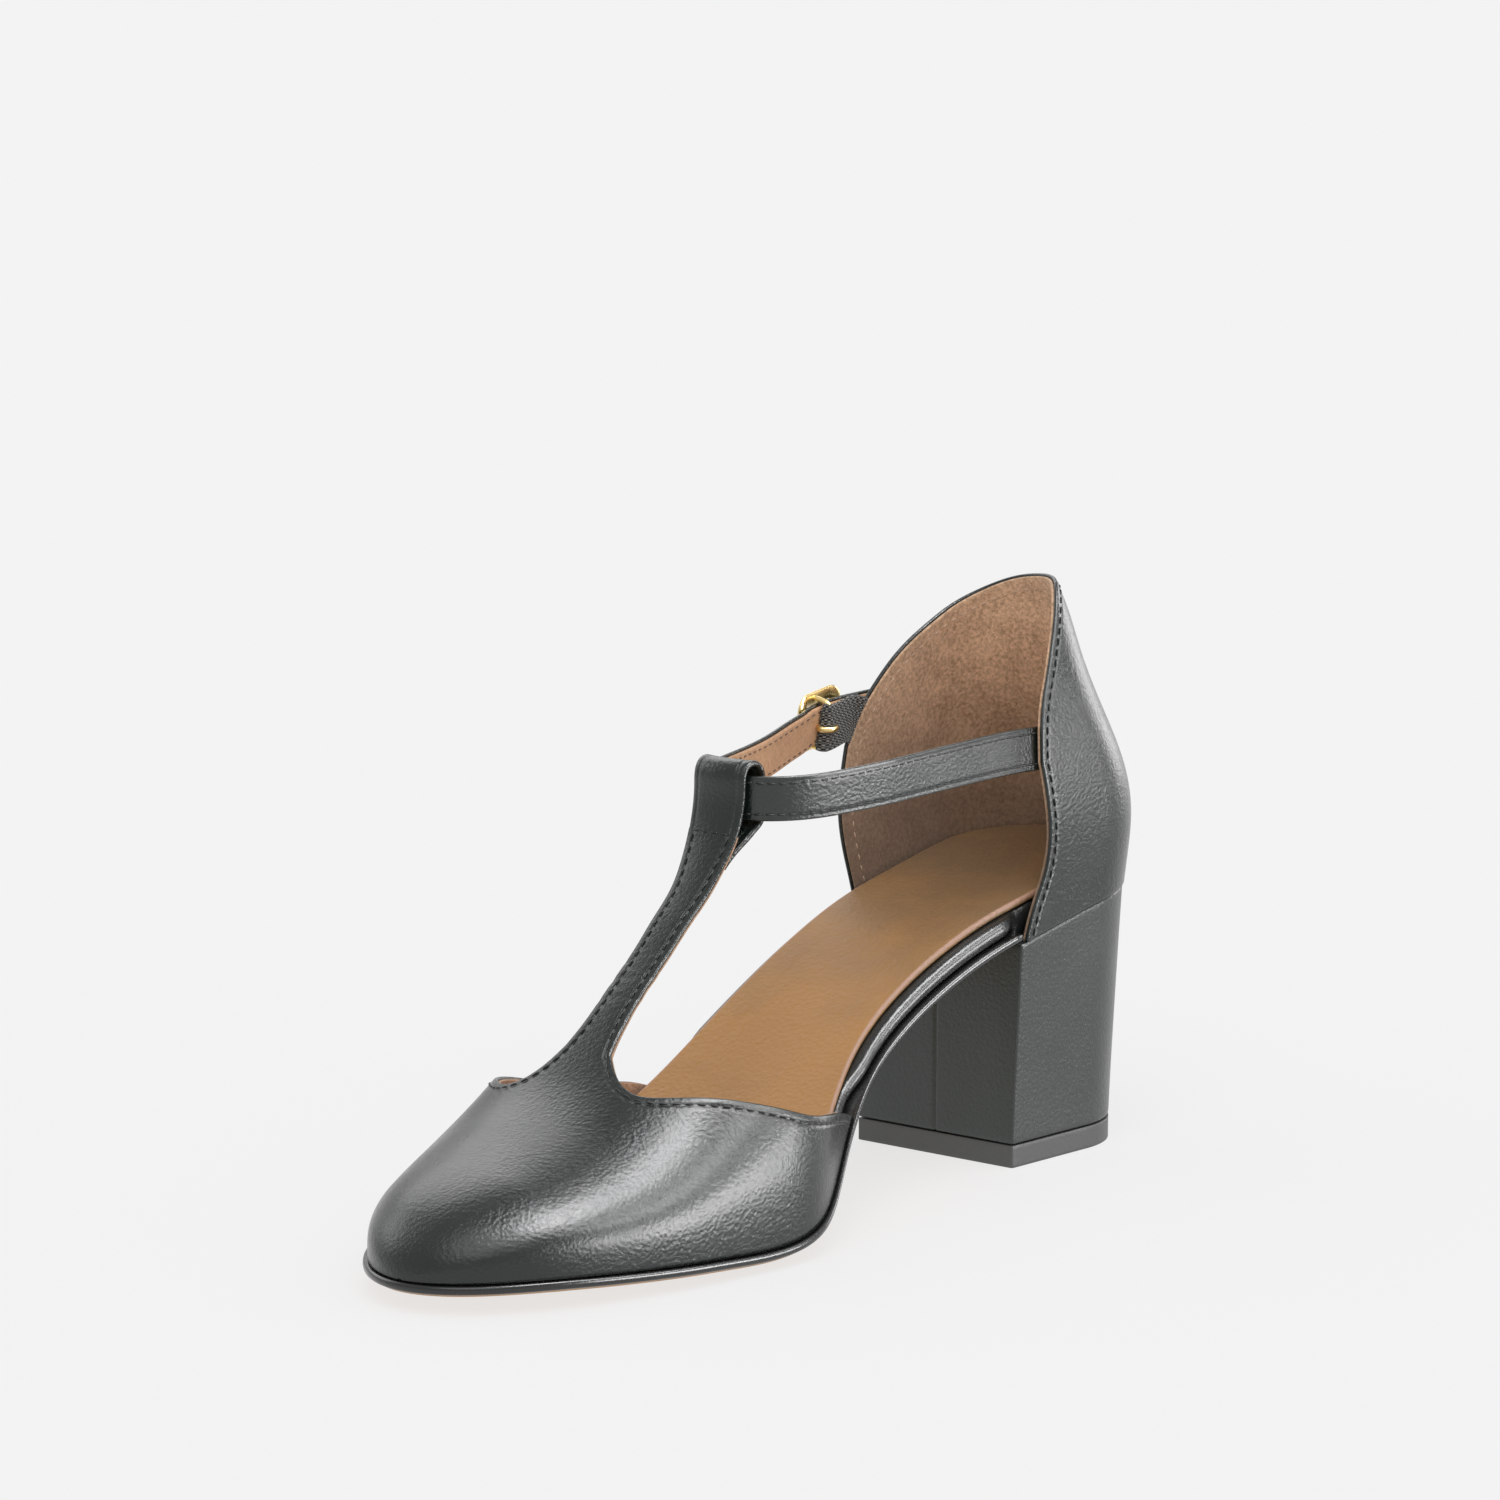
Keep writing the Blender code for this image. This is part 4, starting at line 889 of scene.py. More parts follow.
def vamp_sheet(rows, side_count, bar_rows):
    """Outer face of the vamp and its T-bar.

    The vamp is last_top(a, turn), with a and turn going from the tip to the throat.
    The bar is middle line + half width w sideways + crown w^2 back and down, for w from 1 to -1.
    The last bit of the folded strip is pressed against the bar.
    """
    nodes, start, end = throat_nodes(side_count)
    count = len(nodes)
    share = np.arange(count) / (count - 1.0)
    f = 1.0 - np.cos(0.5 * np.pi * np.linspace(0.0, 1.0, rows))[:, None]
    a = EDGE_TIP - (EDGE_TIP - nodes[:, 0]) * f
    turn = share + (nodes[:, 1] - share) * smooth_step(f)
    grid = last_top(a, turn)
    grid[0] = grid[0].mean(0)
    columns = scaled(T_BAR_LINE, LENGTH, COLLAR_HEIGHT, BALL_WIDTH, BALL_WIDTH, BALL_WIDTH)
    path = along_path(columns.T, bar_rows)
    w = np.linspace(1.0, -1.0, BAR_ACROSS)[None, :]
    middle = grid[-1, [start, end], 0].mean()
    y = HEEL_REACH - path[:, :1] + path[:, 3:4] * w * w
    z = path[:, 1:2] - path[:, 4:5] * w * w
    bar = np.stack([middle + path[:, 2:3] * w, y, z], -1)
    reach = chord_reach(path[:, :2])
    fade = 1.0 - smooth_step(reach / BAR_BLEND)
    bar = bar + (grid[-1, start:end + 1] - bar[0]) * fade[:, None, None]
    tail = smooth_step((reach - reach[-1] + TAIL_LENGTH) / TAIL_LENGTH)
    bar[..., 1] -= TAIL_PRESS * tail[:, None]
    return grid, bar[1:], reach[1:], start, end


def crease(reach, w, places, depth, width):
    """Small cross folds in a strap: a sum of dips exp(-((s - place - skew w) / width)^2)."""
    total = np.zeros((len(reach), w.shape[-1]))
    for k, place in enumerate(places):
        total -= depth * np.exp(-((reach[:, None] - place - FOLD_SKEW * (-1) ** k * w) / width) ** 2)
    return total


grid, bar, bar_reach, root_start, root_end = vamp_sheet(VAMP_ROWS, SIDE_COLUMNS, BAR_ROWS)
vamp_rows, vamp_columns = grid.shape[:2]
vamp_points = np.concatenate([grid.reshape(-1, 3), bar.reshape(-1, 3)])
vamp_count = vamp_rows * vamp_columns
root_row = (vamp_rows - 1) * vamp_columns + np.arange(root_start, root_end + 1)
bar_faces = grid_faces(len(bar), BAR_ACROSS) + vamp_count
first_bar = vamp_count + np.arange(BAR_ACROSS)
join = np.stack([root_row[:-1], root_row[1:], first_bar[1:], first_bar[:-1]], -1)
vamp_faces = np.concatenate([grid_faces(vamp_rows, vamp_columns), join, bar_faces])
vamp_normals = vertex_normals(vamp_points, vamp_faces)
if vamp_normals[(vamp_rows // 2) * vamp_columns + vamp_columns // 2, 2] < 0.0:
    vamp_faces = vamp_faces[:, ::-1]
    vamp_normals = -vamp_normals
row_start = np.arange(vamp_rows) * vamp_columns
foot_index = np.concatenate([row_start, row_start + vamp_columns - 1])
vamp_normals[foot_index, 2] = 0.0
vamp_normals[foot_index] /= np.linalg.norm(vamp_normals[foot_index], axis=1, keepdims=True)
vamp_normals[:vamp_columns] = (0.0, -1.0, 0.0)
print("vamp grid", vamp_rows, "x", vamp_columns, "and bar", len(bar), "x", BAR_ACROSS)

# %% [markdown]
# Layers of an upper. Near a free edge the sheet is drawn in a little, so that the round fold ends
# where the pattern's edge was: a point at distance d moves in by amount (1 - d / depth).
# The foot of the upper, which is lasted under the sole, stays straight.

# %% Layers
DRAW_DEPTH = 0.0042
THREAD_LIFT = 0.00004
LOOP_FOOT = 0.0543


def edge_frame(points, faces, normals, foot):
    """Indices of the free edge and its outward directions; foot marks the vertices of the lasted edge."""
    edges = open_edges(faces, len(points))
    tangent = np.zeros_like(points)
    for k in range(2):
        np.add.at(tangent, edges[:, k], points[edges[:, 1]] - points[edges[:, 0]])
    rim = np.unique(edges)
    out = np.cross(tangent[rim], normals[rim])
    out /= np.maximum(np.linalg.norm(out, axis=1, keepdims=True), 1e-12)
    free = ~foot[rim]
    return rim, out, free


def layer(points, faces, normals, foot, start, thickness, inset, steps=6):
    """A closed layer of an upper: start below the outer face, thickness, and how far its edge lies back.

    start and thickness are one length each, or one for every point.
    """
    count = len(points)
    start = np.broadcast_to(start, (count,))[:, None]
    thickness = np.broadcast_to(thickness, (count,))[:, None]
    rim, out, free = edge_frame(points, faces, normals, foot)
    index, gap = nearest(points, points[rim[free]])
    amount = (inset + 0.5 * thickness) * np.clip(1.0 - gap / DRAW_DEPTH, 0.0, 1.0)[:, None]
    drawn = points - out[free][index] * amount
    outer = drawn - normals * start
    inner = drawn - normals * (start + thickness)
    puff = np.where(free[:, None], 0.5 * thickness[rim], 0.0)
    middle = 0.5 * (outer[rim] + inner[rim])
    half = 0.5 * thickness[rim] * normals[rim]
    angle = np.pi * np.arange(1, steps) / steps
    rings = middle + np.cos(angle)[:, None, None] * half + np.sin(angle)[:, None, None] * puff * out
    edges = open_edges(faces, count)
    first_ring = 2 * count + np.searchsorted(rim, edges)
    ladder = [edges] + [first_ring + k * len(rim) for k in range(steps - 1)] + [edges + count]
    quads = [np.column_stack([up[:, ::-1], low]) for up, low in zip(ladder, ladder[1:])]
    everything = np.concatenate([outer, inner, rings.reshape(-1, 3)])
    solid = np.concatenate([faces, faces[:, ::-1] + count] + quads)
    return everything, solid


def stitch_row(name, line, normals, pitch, length, radius, material, slot):
    """A row of stitches along a line: small bent rods whose ends sink into the leather."""
    reach = chord_reach(line)
    count = int(reach[-1] / pitch)
    middle = (np.arange(count) + 0.5) * reach[-1] / count
    along = np.array([-0.5, -0.34, 0.0, 0.34, 0.5]) * length
    height = np.array([-1.3, 0.15, 0.45, 0.15, -1.3]) * radius + THREAD_LIFT
    thick = np.array([0.5, 1.0, 1.05, 1.0, 0.5]) * radius
    at = middle[:, None] + along[None, :]
    point = np.stack([np.interp(at, reach, line[:, k]) for k in range(3)], -1)
    up = np.stack([np.interp(at, reach, normals[:, k]) for k in range(3)], -1)
    up /= np.linalg.norm(up, axis=-1, keepdims=True)
    tangent = np.gradient(point, axis=1)
    tangent /= np.linalg.norm(tangent, axis=-1, keepdims=True)
    side = np.cross(tangent, up)
    angle = 2.0 * np.pi * np.arange(6) / 6
    ring = np.cos(angle)[:, None] * up[:, :, None, :] + np.sin(angle)[:, None] * side[:, :, None, :]
    centre = point + up * height[None, :, None]
    verts = centre[:, :, None, :] + ring * thick[None, :, None, None]
    one = grid_faces(5, 6, closed=True)
    caps = np.array([[3, 2, 1, 0], [5, 4, 3, 0], [24, 25, 26, 27], [24, 27, 28, 29]])
    one = np.concatenate([one[:, ::-1], caps[:, ::-1]])
    faces = (one[None] + 30 * np.arange(count)[:, None, None]).reshape(-1, 4)
    return make_piece(name, verts.reshape(-1, 3), faces, [material], slot=slot)


def inside_line(edge, out, depth, surface, surface_normals, smooth=4):
    """The line at a fixed depth inside an ordered edge, smoothed and laid on the surface."""
    line = edge - out * depth
    _, gap = nearest(line, edge)
    keep = gap > depth * 0.93
    line = line[keep]
    for _ in range(smooth):
        line[1:-1] = 0.25 * line[:-2] + 0.5 * line[1:-1] + 0.25 * line[2:]
    index, _ = nearest(line, surface)
    up = surface_normals[index]
    line = line - up * np.sum((line - surface[index]) * up, axis=1, keepdims=True)
    return line, up


vamp_foot = np.zeros(len(vamp_points), bool)
vamp_foot[foot_index] = True
vamp_foot[:vamp_columns] = True
bend_w = np.linspace(1.0, -1.0, BAR_ACROSS)[None, :]
folds = crease(bar_reach, bend_w, FOLD_PLACES, FOLD_DEPTH, FOLD_WIDTH)
bar_slice = slice(vamp_count, None)
vamp_shown = vamp_points.copy()
vamp_shown[bar_slice] += vamp_normals[bar_slice] * folds.reshape(-1, 1)
rim, rim_out, rim_free = edge_frame(vamp_points, vamp_faces, vamp_normals, vamp_foot)
vamp_edge = vamp_points[rim[rim_free]]
reach = np.concatenate([np.zeros(vamp_count), np.repeat(bar_reach, BAR_ACROSS)])
looped = reach > LOOP_FOOT
skin = np.where(looped, T_BAR_THICK, LEATHER_SKIN)
points, faces = layer(vamp_shown, vamp_faces, vamp_normals, vamp_foot, 0.0, skin, 0.0)
vamp = make_piece("vamp", points, faces, [black_leather], slot="black_leather", node="vamp")
edge_gap(vamp, vamp_edge)
lined = int(np.argmax(looped))
lined_faces = vamp_faces[np.all(vamp_faces < lined, axis=1)]
on_bar = smooth_step(reach[:lined] / BAR_BLEND)
start = LINING_START + (LEATHER_SKIN - LINING_START) * on_bar
skin = LINING_SKIN + (T_BAR_THICK - LEATHER_SKIN - LINING_SKIN) * on_bar
points, faces = layer(vamp_shown[:lined], lined_faces, vamp_normals[:lined], vamp_foot[:lined],
                      start, skin, 0.0)
make_piece("vamp_lining", points, faces, [lining], slot="sock_leather")
print("vamp:", len(vamp.data.polygons), "faces")

# %% [markdown]
# Stitches hold the folded edge to the lining. The machine runs about 2 mm from the edge, from the
# medial wing up one side of the bar, then down the other side to the lateral wing.
# A second short row crosses the bar below the loop, where the end of the strip is sewn down.

# %% Vamp stitches
STITCH_PITCH = 0.0027
STITCH_LENGTH = 0.0021
STITCH_RADIUS = 0.00018
THREAD_DEPTH = 0.0019
CROSS_PITCH = 0.0022
CROSS_LENGTH = 0.0017

last_row = (vamp_rows - 1) * vamp_columns
bar_top = int(np.argmin(np.abs(bar_reach - LOOP_FOOT)))
medial_bar = vamp_count + np.arange(bar_top) * BAR_ACROSS
lateral_bar = medial_bar + BAR_ACROSS - 1
medial_edge = np.concatenate([last_row + np.arange(2, root_start), medial_bar[3:]])
lateral_edge = np.concatenate([last_row + np.arange(root_end + 1, vamp_columns - 2)[::-1], lateral_bar[3:]])
for name, indices in (("vamp_stitches_medial", medial_edge), ("vamp_stitches_lateral", lateral_edge)):
    out = rim_out[np.searchsorted(rim, indices)]
    line, up = inside_line(vamp_points[indices], out, THREAD_DEPTH, vamp_shown, vamp_normals)
    stitch_row(name, line, up, STITCH_PITCH, STITCH_LENGTH, STITCH_RADIUS, black_thread, "black_leather")
cross = vamp_count + bar_top * BAR_ACROSS + np.arange(2, BAR_ACROSS - 2)
stitch_row("loop_stitches", vamp_shown[cross], vamp_normals[cross], CROSS_PITCH, CROSS_LENGTH, STITCH_RADIUS,
           black_thread, "black_leather")
print("bar is sewn across at height", round(float(vamp_shown[cross, 2].mean()) * 1000, 1), "mm")

# %% [markdown]
# The heel cup is one sheet around the heel. It is drawn as a Coons patch in the cup's own
# coordinates, the turn round the heel and the height: sides + ends - corners, so that its edges are
# exactly the foot, the two front edges and the collar. Its lining is a napped peach leather.

# %% Heel cup
CUP_TURN_WEIGHT = 0.085
CUP_LINING_INSET = 0.0002
LINING_THREAD_DEPTH = 0.0034
LINING_STITCH_LENGTH = 0.0015
LINING_STITCH_RADIUS = 0.00017


def front_curve(rows, corner, count):
    """A front edge of the cup from its foot up to the collar's corner."""
    rows = np.array(rows, float)
    climb = np.linspace(0.0, 1.0, count)
    turn = spline(climb, rows[:, 1], rows[:, 0])
    foot = float(cup_foot(np.array([turn[0]]))[0])
    return np.column_stack([turn, foot + (corner - foot) * climb])


def cup_sheet(rows, columns):
    """Outer face of the heel cup as rows from the foot to the collar."""
    collar = np.array(COLLAR_LINE, float) * (1.0, COLLAR_HEIGHT)
    reach = chord_reach(collar * (CUP_TURN_WEIGHT, 1.0))
    top = spline_points(np.linspace(0.0, reach[-1], columns), reach, collar)
    medial = front_curve(MEDIAL_FRONT, collar[0, 1], rows)
    lateral = front_curve(LATERAL_FRONT, collar[-1, 1], rows)
    u = np.linspace(0.0, 1.0, columns)[None, :, None]
    v = np.linspace(0.0, 1.0, rows)[:, None, None]
    foot_turn = medial[0, 0] + (lateral[0, 0] - medial[0, 0]) * u[0, :, 0]
    foot = np.column_stack([foot_turn, cup_foot(foot_turn)])
    sides = (1.0 - u) * medial[:, None] + u * lateral[:, None]
    ends = (1.0 - v) * foot[None] + v * top[None]
    low = (1.0 - u) * foot[0] + u * foot[-1]
    high = (1.0 - u) * top[0] + u * top[-1]
    patch = sides + ends - (1.0 - v) * low - v * high
    return cup_face(patch[..., 0], patch[..., 1])


cup_rows, cup_columns = 72, 150
cup_grid = cup_sheet(cup_rows, cup_columns)
cup_points = cup_grid.reshape(-1, 3)
cup_faces = grid_faces(cup_rows, cup_columns)
cup_normals = vertex_normals(cup_points, cup_faces)
if cup_normals[cup_columns // 2, 1] < 0.0:
    cup_faces = cup_faces[:, ::-1]
    cup_normals = -cup_normals
cup_normals[:cup_columns, 2] = 0.0
cup_normals[:cup_columns] /= np.linalg.norm(cup_normals[:cup_columns], axis=1, keepdims=True)
cup_foot_mark = np.arange(len(cup_points)) < cup_columns
rim, rim_out, rim_free = edge_frame(cup_points, cup_faces, cup_normals, cup_foot_mark)
cup_edge = cup_points[rim[rim_free]]
cup_rim, cup_out = rim[rim_free], rim_out[rim_free]
points, faces = layer(cup_points, cup_faces, cup_normals, cup_foot_mark, 0.0, LEATHER_SKIN, 0.0)
cup = make_piece("heel_cup", points, faces, [black_leather], slot="black_leather", node="heel_cup")
edge_gap(cup, cup_edge)
points, faces = layer(cup_points, cup_faces, cup_normals, cup_foot_mark,
                      LINING_START, LINING_SKIN, CUP_LINING_INSET)
make_piece("heel_cup_lining", points, faces, [cup_lining], slot="sock_leather")
left = np.arange(2, cup_rows) * cup_columns
right = left[::-1] + cup_columns - 1
top = (cup_rows - 1) * cup_columns + np.arange(1, cup_columns - 1)
loop = np.concatenate([left, top, right])
out = rim_out[np.searchsorted(rim, loop)]
line, up = inside_line(cup_points[loop], out, THREAD_DEPTH, cup_points, cup_normals)
stitch_row("collar_stitches", line, up, STITCH_PITCH, STITCH_LENGTH, STITCH_RADIUS,
           black_thread, "black_leather")
line, up = inside_line(cup_points[loop], out, LINING_THREAD_DEPTH, cup_points, cup_normals, 6)
stitch_row("lining_stitches", line - up * UPPER_WALL, -up, STITCH_PITCH, LINING_STITCH_LENGTH,
           LINING_STITCH_RADIUS, pale_thread, "sock_leather")
print("cup:", len(cup.data.polygons), "faces, collar",
      round(float(cup_points[:, 2].max()) * 1000, 1), "mm high")

# %% [markdown]
# The sock is the thin leather under the foot, glued on the insole board. The board is wrapped in the
# same black leather as the upper and shows as a rounded band at the open waist. Under both lies the
# outsole: its edge is cut, inked black and polished, while its tread stays natural leather.

# %% Sock, board and outsole
SOCK_DISH = 0.0005
SOCK_CUT = 0.0002
BOARD_STEP = BREAST - 0.0005
STEP_SIDES = (BREAST - 0.0008, BREAST - 0.0002)
SOLE_START = BREAST + 0.0005
TUCK = UPPER_WALL + SEAM_GAP + 0.0004
WAIST_REACH = TUCK - 0.0005
MEDIAL_OPEN = 0.0550
LATERAL_OPEN = 0.0600
WAIST_END = 0.1150
OPEN_FADE = 0.0050
CLOSE_FADE = 0.0070
TREAD_ROUND = 0.27


def behind(points):
    """Distance of points from the rearmost point of the shoe."""
    return HEEL_REACH - points[:, 1]


def at_level(upper, lower):
    """A function of share that gives heights between two curves of the shoe."""
    def level(share):
        def height(points):
            a = behind(points)
            return upper(a) + (lower(a) - upper(a)) * share
        return height
    return level


a = walk_stations(EDGE_BACK, EDGE_TIP, 170, True, True)
sock_level = at_level(sock_rise, lambda at: sock_rise(at) - SOCK_THICK)
sock_profile = rounded([(-0.0016, 0.0), (-0.0007, 0.04), (-0.0002, 0.20), (0.0, 0.5), (0.0, 1.0)], 11)
rings = plate_rings(
    lambda grow: offset_edge(a, grow - SOCK_INSET),
    [(grow, sock_level(share)) for grow, share in sock_profile],
    lambda points, s: sock_rise(behind(points)) - SOCK_DISH * np.sin(np.pi * s) ** 2,
    lambda points, s: sock_rise(behind(points)) - SOCK_THICK, 26)
sock = ring_piece("insole_sock", rings, [sock_leather], True, slot="sock_leather", node="insole_sock")
outline = np.concatenate(offset_edge(a, -SOCK_INSET))
edge_gap(sock, np.column_stack([outline, sock_rise(behind(outline)) - SOCK_CUT]))

a = np.concatenate([walk_stations(EDGE_BACK, STEP_SIDES[0], 44, True, False),
                    walk_stations(STEP_SIDES[1], EDGE_TIP, 150, False, True)])
waist = [smooth_step((a - place) / OPEN_FADE) * smooth_step((WAIST_END - a) / CLOSE_FADE)
         for place in (MEDIAL_OPEN, LATERAL_OPEN)]


def board_sides(grow):
    """The board's edge, tucked inside the upper and brought out where the waist is open."""
    return [offset_edge(a, grow - TUCK + WAIST_REACH * waist[side])[side] for side in (0, 1)]


def board_top(at):
    """Top of the board, just under the sock."""
    return sock_rise(at) - SOCK_THICK - SEAM_GAP


def board_foot(at):
    """Underside of the board: the heel's seat behind the breast, the outsole in front of it."""
    return np.where(at < BOARD_STEP, seat_rise(at), outsole_top(at)) + SEAM_GAP


board_level = at_level(board_top, board_foot)
board_profile = rounded([(-0.0034, 0.0), (-0.0015, 0.05), (-0.0004, 0.26),
                         (0.0, 0.55), (-0.0003, 0.88), (-0.0010, 1.0)], 20)
rings = plate_rings(board_sides, [(grow, board_level(share)) for grow, share in board_profile],
                    lambda points, s: board_top(behind(points)),
                    lambda points, s: board_foot(behind(points)), 4)
ring_piece("insole_board", rings, [wrap_leather], True, slot="black_leather", node="insole_board")

a = walk_stations(SOLE_START, EDGE_TIP, 170, False, True)
sole_level = at_level(outsole_top, lambda at: outsole_foot(at, 0.0))
sole_edge = rounded([(-0.0030, 0.0), (-0.0010, 0.0), (0.0005, 0.01), (0.0010, 0.16),
                     (0.0010, 0.56), (0.0007, 0.72), (0.0001, 0.79)], 20)
sole_step = np.array([(-0.0004, 0.84), (-0.0006, 1.0), (-0.0012, 1.0), (-0.0020, 1.0)])
sole_profile = np.concatenate([sole_edge, sole_step])


def tread(points, s):
    """Underside of the sole, bowed down under the ball."""
    q = np.clip(min(s, 1.0 - s) / TREAD_ROUND, 0.0, 1.0)
    return outsole_foot(behind(points), 1.0 - (1.0 - q) ** 2)


sole_across = 22
rings = plate_rings(lambda grow: offset_edge(a, grow),
                    [(grow, sole_level(share)) for grow, share in sole_profile],
                    lambda points, s: outsole_top(behind(points)), tread, sole_across)
rings = close_rings(rings)[:-1]
ring = ring_mesh(rings)[1][:, 0] % rings.shape[1]
inked = (ring < sole_across + len(sole_edge)) | (ring >= rings.shape[1] - len(sole_edge))
ring_piece("outsole", rings, [edge_ink, sole_leather], True, part=np.where(inked, 0, 1),
           slot="edge_black", node="outsole")
print("sock, board and outsole made; stations:", len(a))

# %% [markdown]
# The heel is a block covered with leather. From above its outline is a D: a half circle at the back,
# straight sides and a flat breast. The cover's two ends meet in a fine seam down the breast. Below it
# sits the rubber top piece, which stands on the floor.

# %% Heel
HEEL_CORNER = 0.0007
HEEL_SOFT = 0.0004
BREAST_SEAM = 0.00035
SEAM_WIDTH = 0.0003
SEAT_PLACE = 0.045
COVER_GAP = 0.0001
END_SHARE = 0.02
FLARE = 1.15
CAP_INSET = 0.06
TOP_PIECE_SOFT = 0.0003
BREAST_SHARES = np.array([0.0, 0.012, 0.025, 0.045, 0.09, 0.2, 0.4, 0.7, 1.0])


def d_outline(half, back, breast, corner, seam):
    """D seen from above as (x, distance from the rearmost point), from the breast's middle round the back."""
    flat = BREAST_SHARES * (half - corner)
    turn = np.linspace(0.0, 0.5 * np.pi, 6)[1:]
    corner_x = half - corner + corner * np.sin(turn)
    corner_a = breast - corner + corner * np.cos(turn)
    run = np.linspace(breast - corner, back + half, 12)[1:]
    bend = np.linspace(0.0, np.pi, 73)[1:]
    front = np.full(len(flat), breast)
    straight = np.full(len(run), half)
    x = np.concatenate([flat, corner_x, straight, half * np.cos(bend),
                        -straight, -corner_x[::-1], -flat[:0:-1]])
    along = np.concatenate([front, corner_a, run, back + half - half * np.sin(bend),
                            run[-2::-1], [breast - corner], corner_a[::-1], front[1:]])
    dip = seam * np.exp(-(x / SEAM_WIDTH) ** 2) * (along > breast - corner * 0.5)
    return x, along - dip


def d_block(foot, top, halves, backs, seam, soft, levels):
    """Closed rings of a D shaped block between a flat foot and a top given as a function of a."""
    end = np.linspace(0.0, 1.0, 6) ** 2 * END_SHARE
    share = np.concatenate([end, np.linspace(END_SHARE, 1.0 - END_SHARE, levels)[1:-1], 1.0 - end[::-1]])
    rings = []
    for s in share:
        q = 1.0 - min(s, 1.0 - s) / END_SHARE
        inset = soft * (1.0 - math.sqrt(max(0.0, 1.0 - max(0.0, q) ** 2)))
        grow = s ** FLARE
        half = halves[0] + (halves[1] - halves[0]) * grow - inset
        back = backs[0] + (backs[1] - backs[0]) * grow + inset
        x, along = d_outline(half, back, BREAST - inset, HEEL_CORNER, seam)
        rings.append(np.column_stack([x, HEEL_REACH - along, foot + (top(along) - foot) * s]))
    rings = np.array(rings)
    inner = [ring + (ring.mean(0) - ring) * CAP_INSET for ring in (rings[0], rings[-1])]
    return close_rings(np.concatenate([inner[:1], rings, inner[1:]]))


seat_half = float(edge_half(np.array([SEAT_PLACE]))[0]) - COVER_GAP
rings = d_block(TOP_PIECE_THICK + SEAM_GAP, seat_rise, (HEEL_FOOT_HALF, seat_half),
                (HEEL_FOOT_BACK, EDGE_BACK + COVER_GAP), BREAST_SEAM, HEEL_SOFT, 40)
ring_piece("heel_block", rings, [heel_leather], slot="heel_leather", node="heel_block")
rings = d_block(0.0, lambda at: np.full(len(at), TOP_PIECE_THICK), (HEEL_FOOT_HALF, HEEL_FOOT_HALF),
                (HEEL_FOOT_BACK, HEEL_FOOT_BACK), 0.0, TOP_PIECE_SOFT, 8)
ring_piece("heel_top_piece", rings, [rubber], slot="black_rubber", node="heel_top_piece")
print("heel block", round(2000 * seat_half, 1), "mm wide at the seat")

# %% [markdown]
# The ankle strap starts inside the medial cup, runs through the loop and ends in a tail outside the
# lateral cup. It is swept along its middle line: place = line + out s + up h, where out is square to
# both the line and the strap's leaning upright. Its inner face is lined.

# %% Ankle strap
COVER_MIDDLE, COVER_SHARE = 0.24, 0.52
BACK_MIDDLE, BACK_SHARE = -0.25, 0.49
BACK_INSET = 0.0009
HOLE_RADIUS = 0.0012
HOLE_SHIFT = 0.0004
STRAP_PITCH = 0.0025
STRAP_THREAD_DEPTH = 0.0015
SEWN_PART = slice(6, -4)
LATERAL_SIDE = -0.015
STRAP_STATIONS = 360
SOLID_STATIONS = 66


def strap_frame(points):
    """Tangent, outward normal and upward direction along a strap's middle line."""
    tangent = np.gradient(points[:, :3], axis=0)
    tangent /= np.linalg.norm(tangent, axis=1, keepdims=True)
    up = np.column_stack([points[:, 3], np.zeros(len(points)), np.ones(len(points))])
    out = np.cross(up, tangent)
    out /= np.linalg.norm(out, axis=1, keepdims=True)
    return tangent, out, np.cross(tangent, out)


def band_section(width, thick, across, corner_steps=5):
    """Closed section of a band as (out, up) pairs: outer face, lower edge, inner face, upper edge."""
    soft = 0.48 * thick
    flat = np.linspace(0.5, -0.5, across) * (width - 2.0 * soft)
    turn = np.linspace(0.0, np.pi, 2 * corner_steps + 1)[1:-1]
    outer = np.column_stack([np.full(across, 0.5 * thick), flat])
    lower = np.column_stack([0.5 * thick * np.cos(turn), -(0.5 * width - soft) - soft * np.sin(turn)])
    return np.concatenate([outer, lower, -outer, -lower])


def sweep_band(points, section):
    """Rings of a section swept along a middle line."""
    _, out, up = strap_frame(points)
    return points[:, None, :3] + out[:, None] * section[None, :, :1] + up[:, None] * section[None, :, 1:]


side, from_back, height, lean = scaled(STRAP_LINE, BALL_WIDTH, LENGTH, COLLAR_HEIGHT, 1.0)
STRAP_POINTS = np.column_stack([side, HEEL_REACH - from_back, height, lean])


def buckle_place(points):
    """Origin and directions of the buckle on the strap's middle line."""
    tangent, out, up = strap_frame(points)
    lateral = np.nonzero(points[:, 0] < LATERAL_SIDE)[0]
    index = lateral[np.argmin(np.abs(points[lateral, 1] - (HEEL_REACH - BUCKLE_ALONG)))]
    return points[index, :3], tangent[index], out[index], up[index]


def rod(line, reference, wide, deep, sides=16, closed=False):
    """A rod along a line; reference fixes its section: wide across it, deep along it."""
    tangent = np.roll(line, -1, 0) - np.roll(line, 1, 0) if closed else np.gradient(line, axis=0)
    tangent /= np.linalg.norm(tangent, axis=1, keepdims=True)
    across = np.cross(tangent, reference)
    across /= np.linalg.norm(across, axis=1, keepdims=True)
    deep_way = np.cross(across, tangent)
    angle = 2.0 * np.pi * np.arange(sides)[:, None] / sides
    rings = (line[:, None] + wide * np.cos(angle) * across[:, None]
             + deep * np.sin(angle) * deep_way[:, None])
    if closed:
        return np.concatenate([rings, rings[:1]])
    return close_rings(rings)


strap_path = along_path(STRAP_POINTS, STRAP_STATIONS)
origin, along, out_way, up_way = buckle_place(along_path(STRAP_POINTS, SOLID_STATIONS))
_, strap_out, strap_up = strap_frame(strap_path)


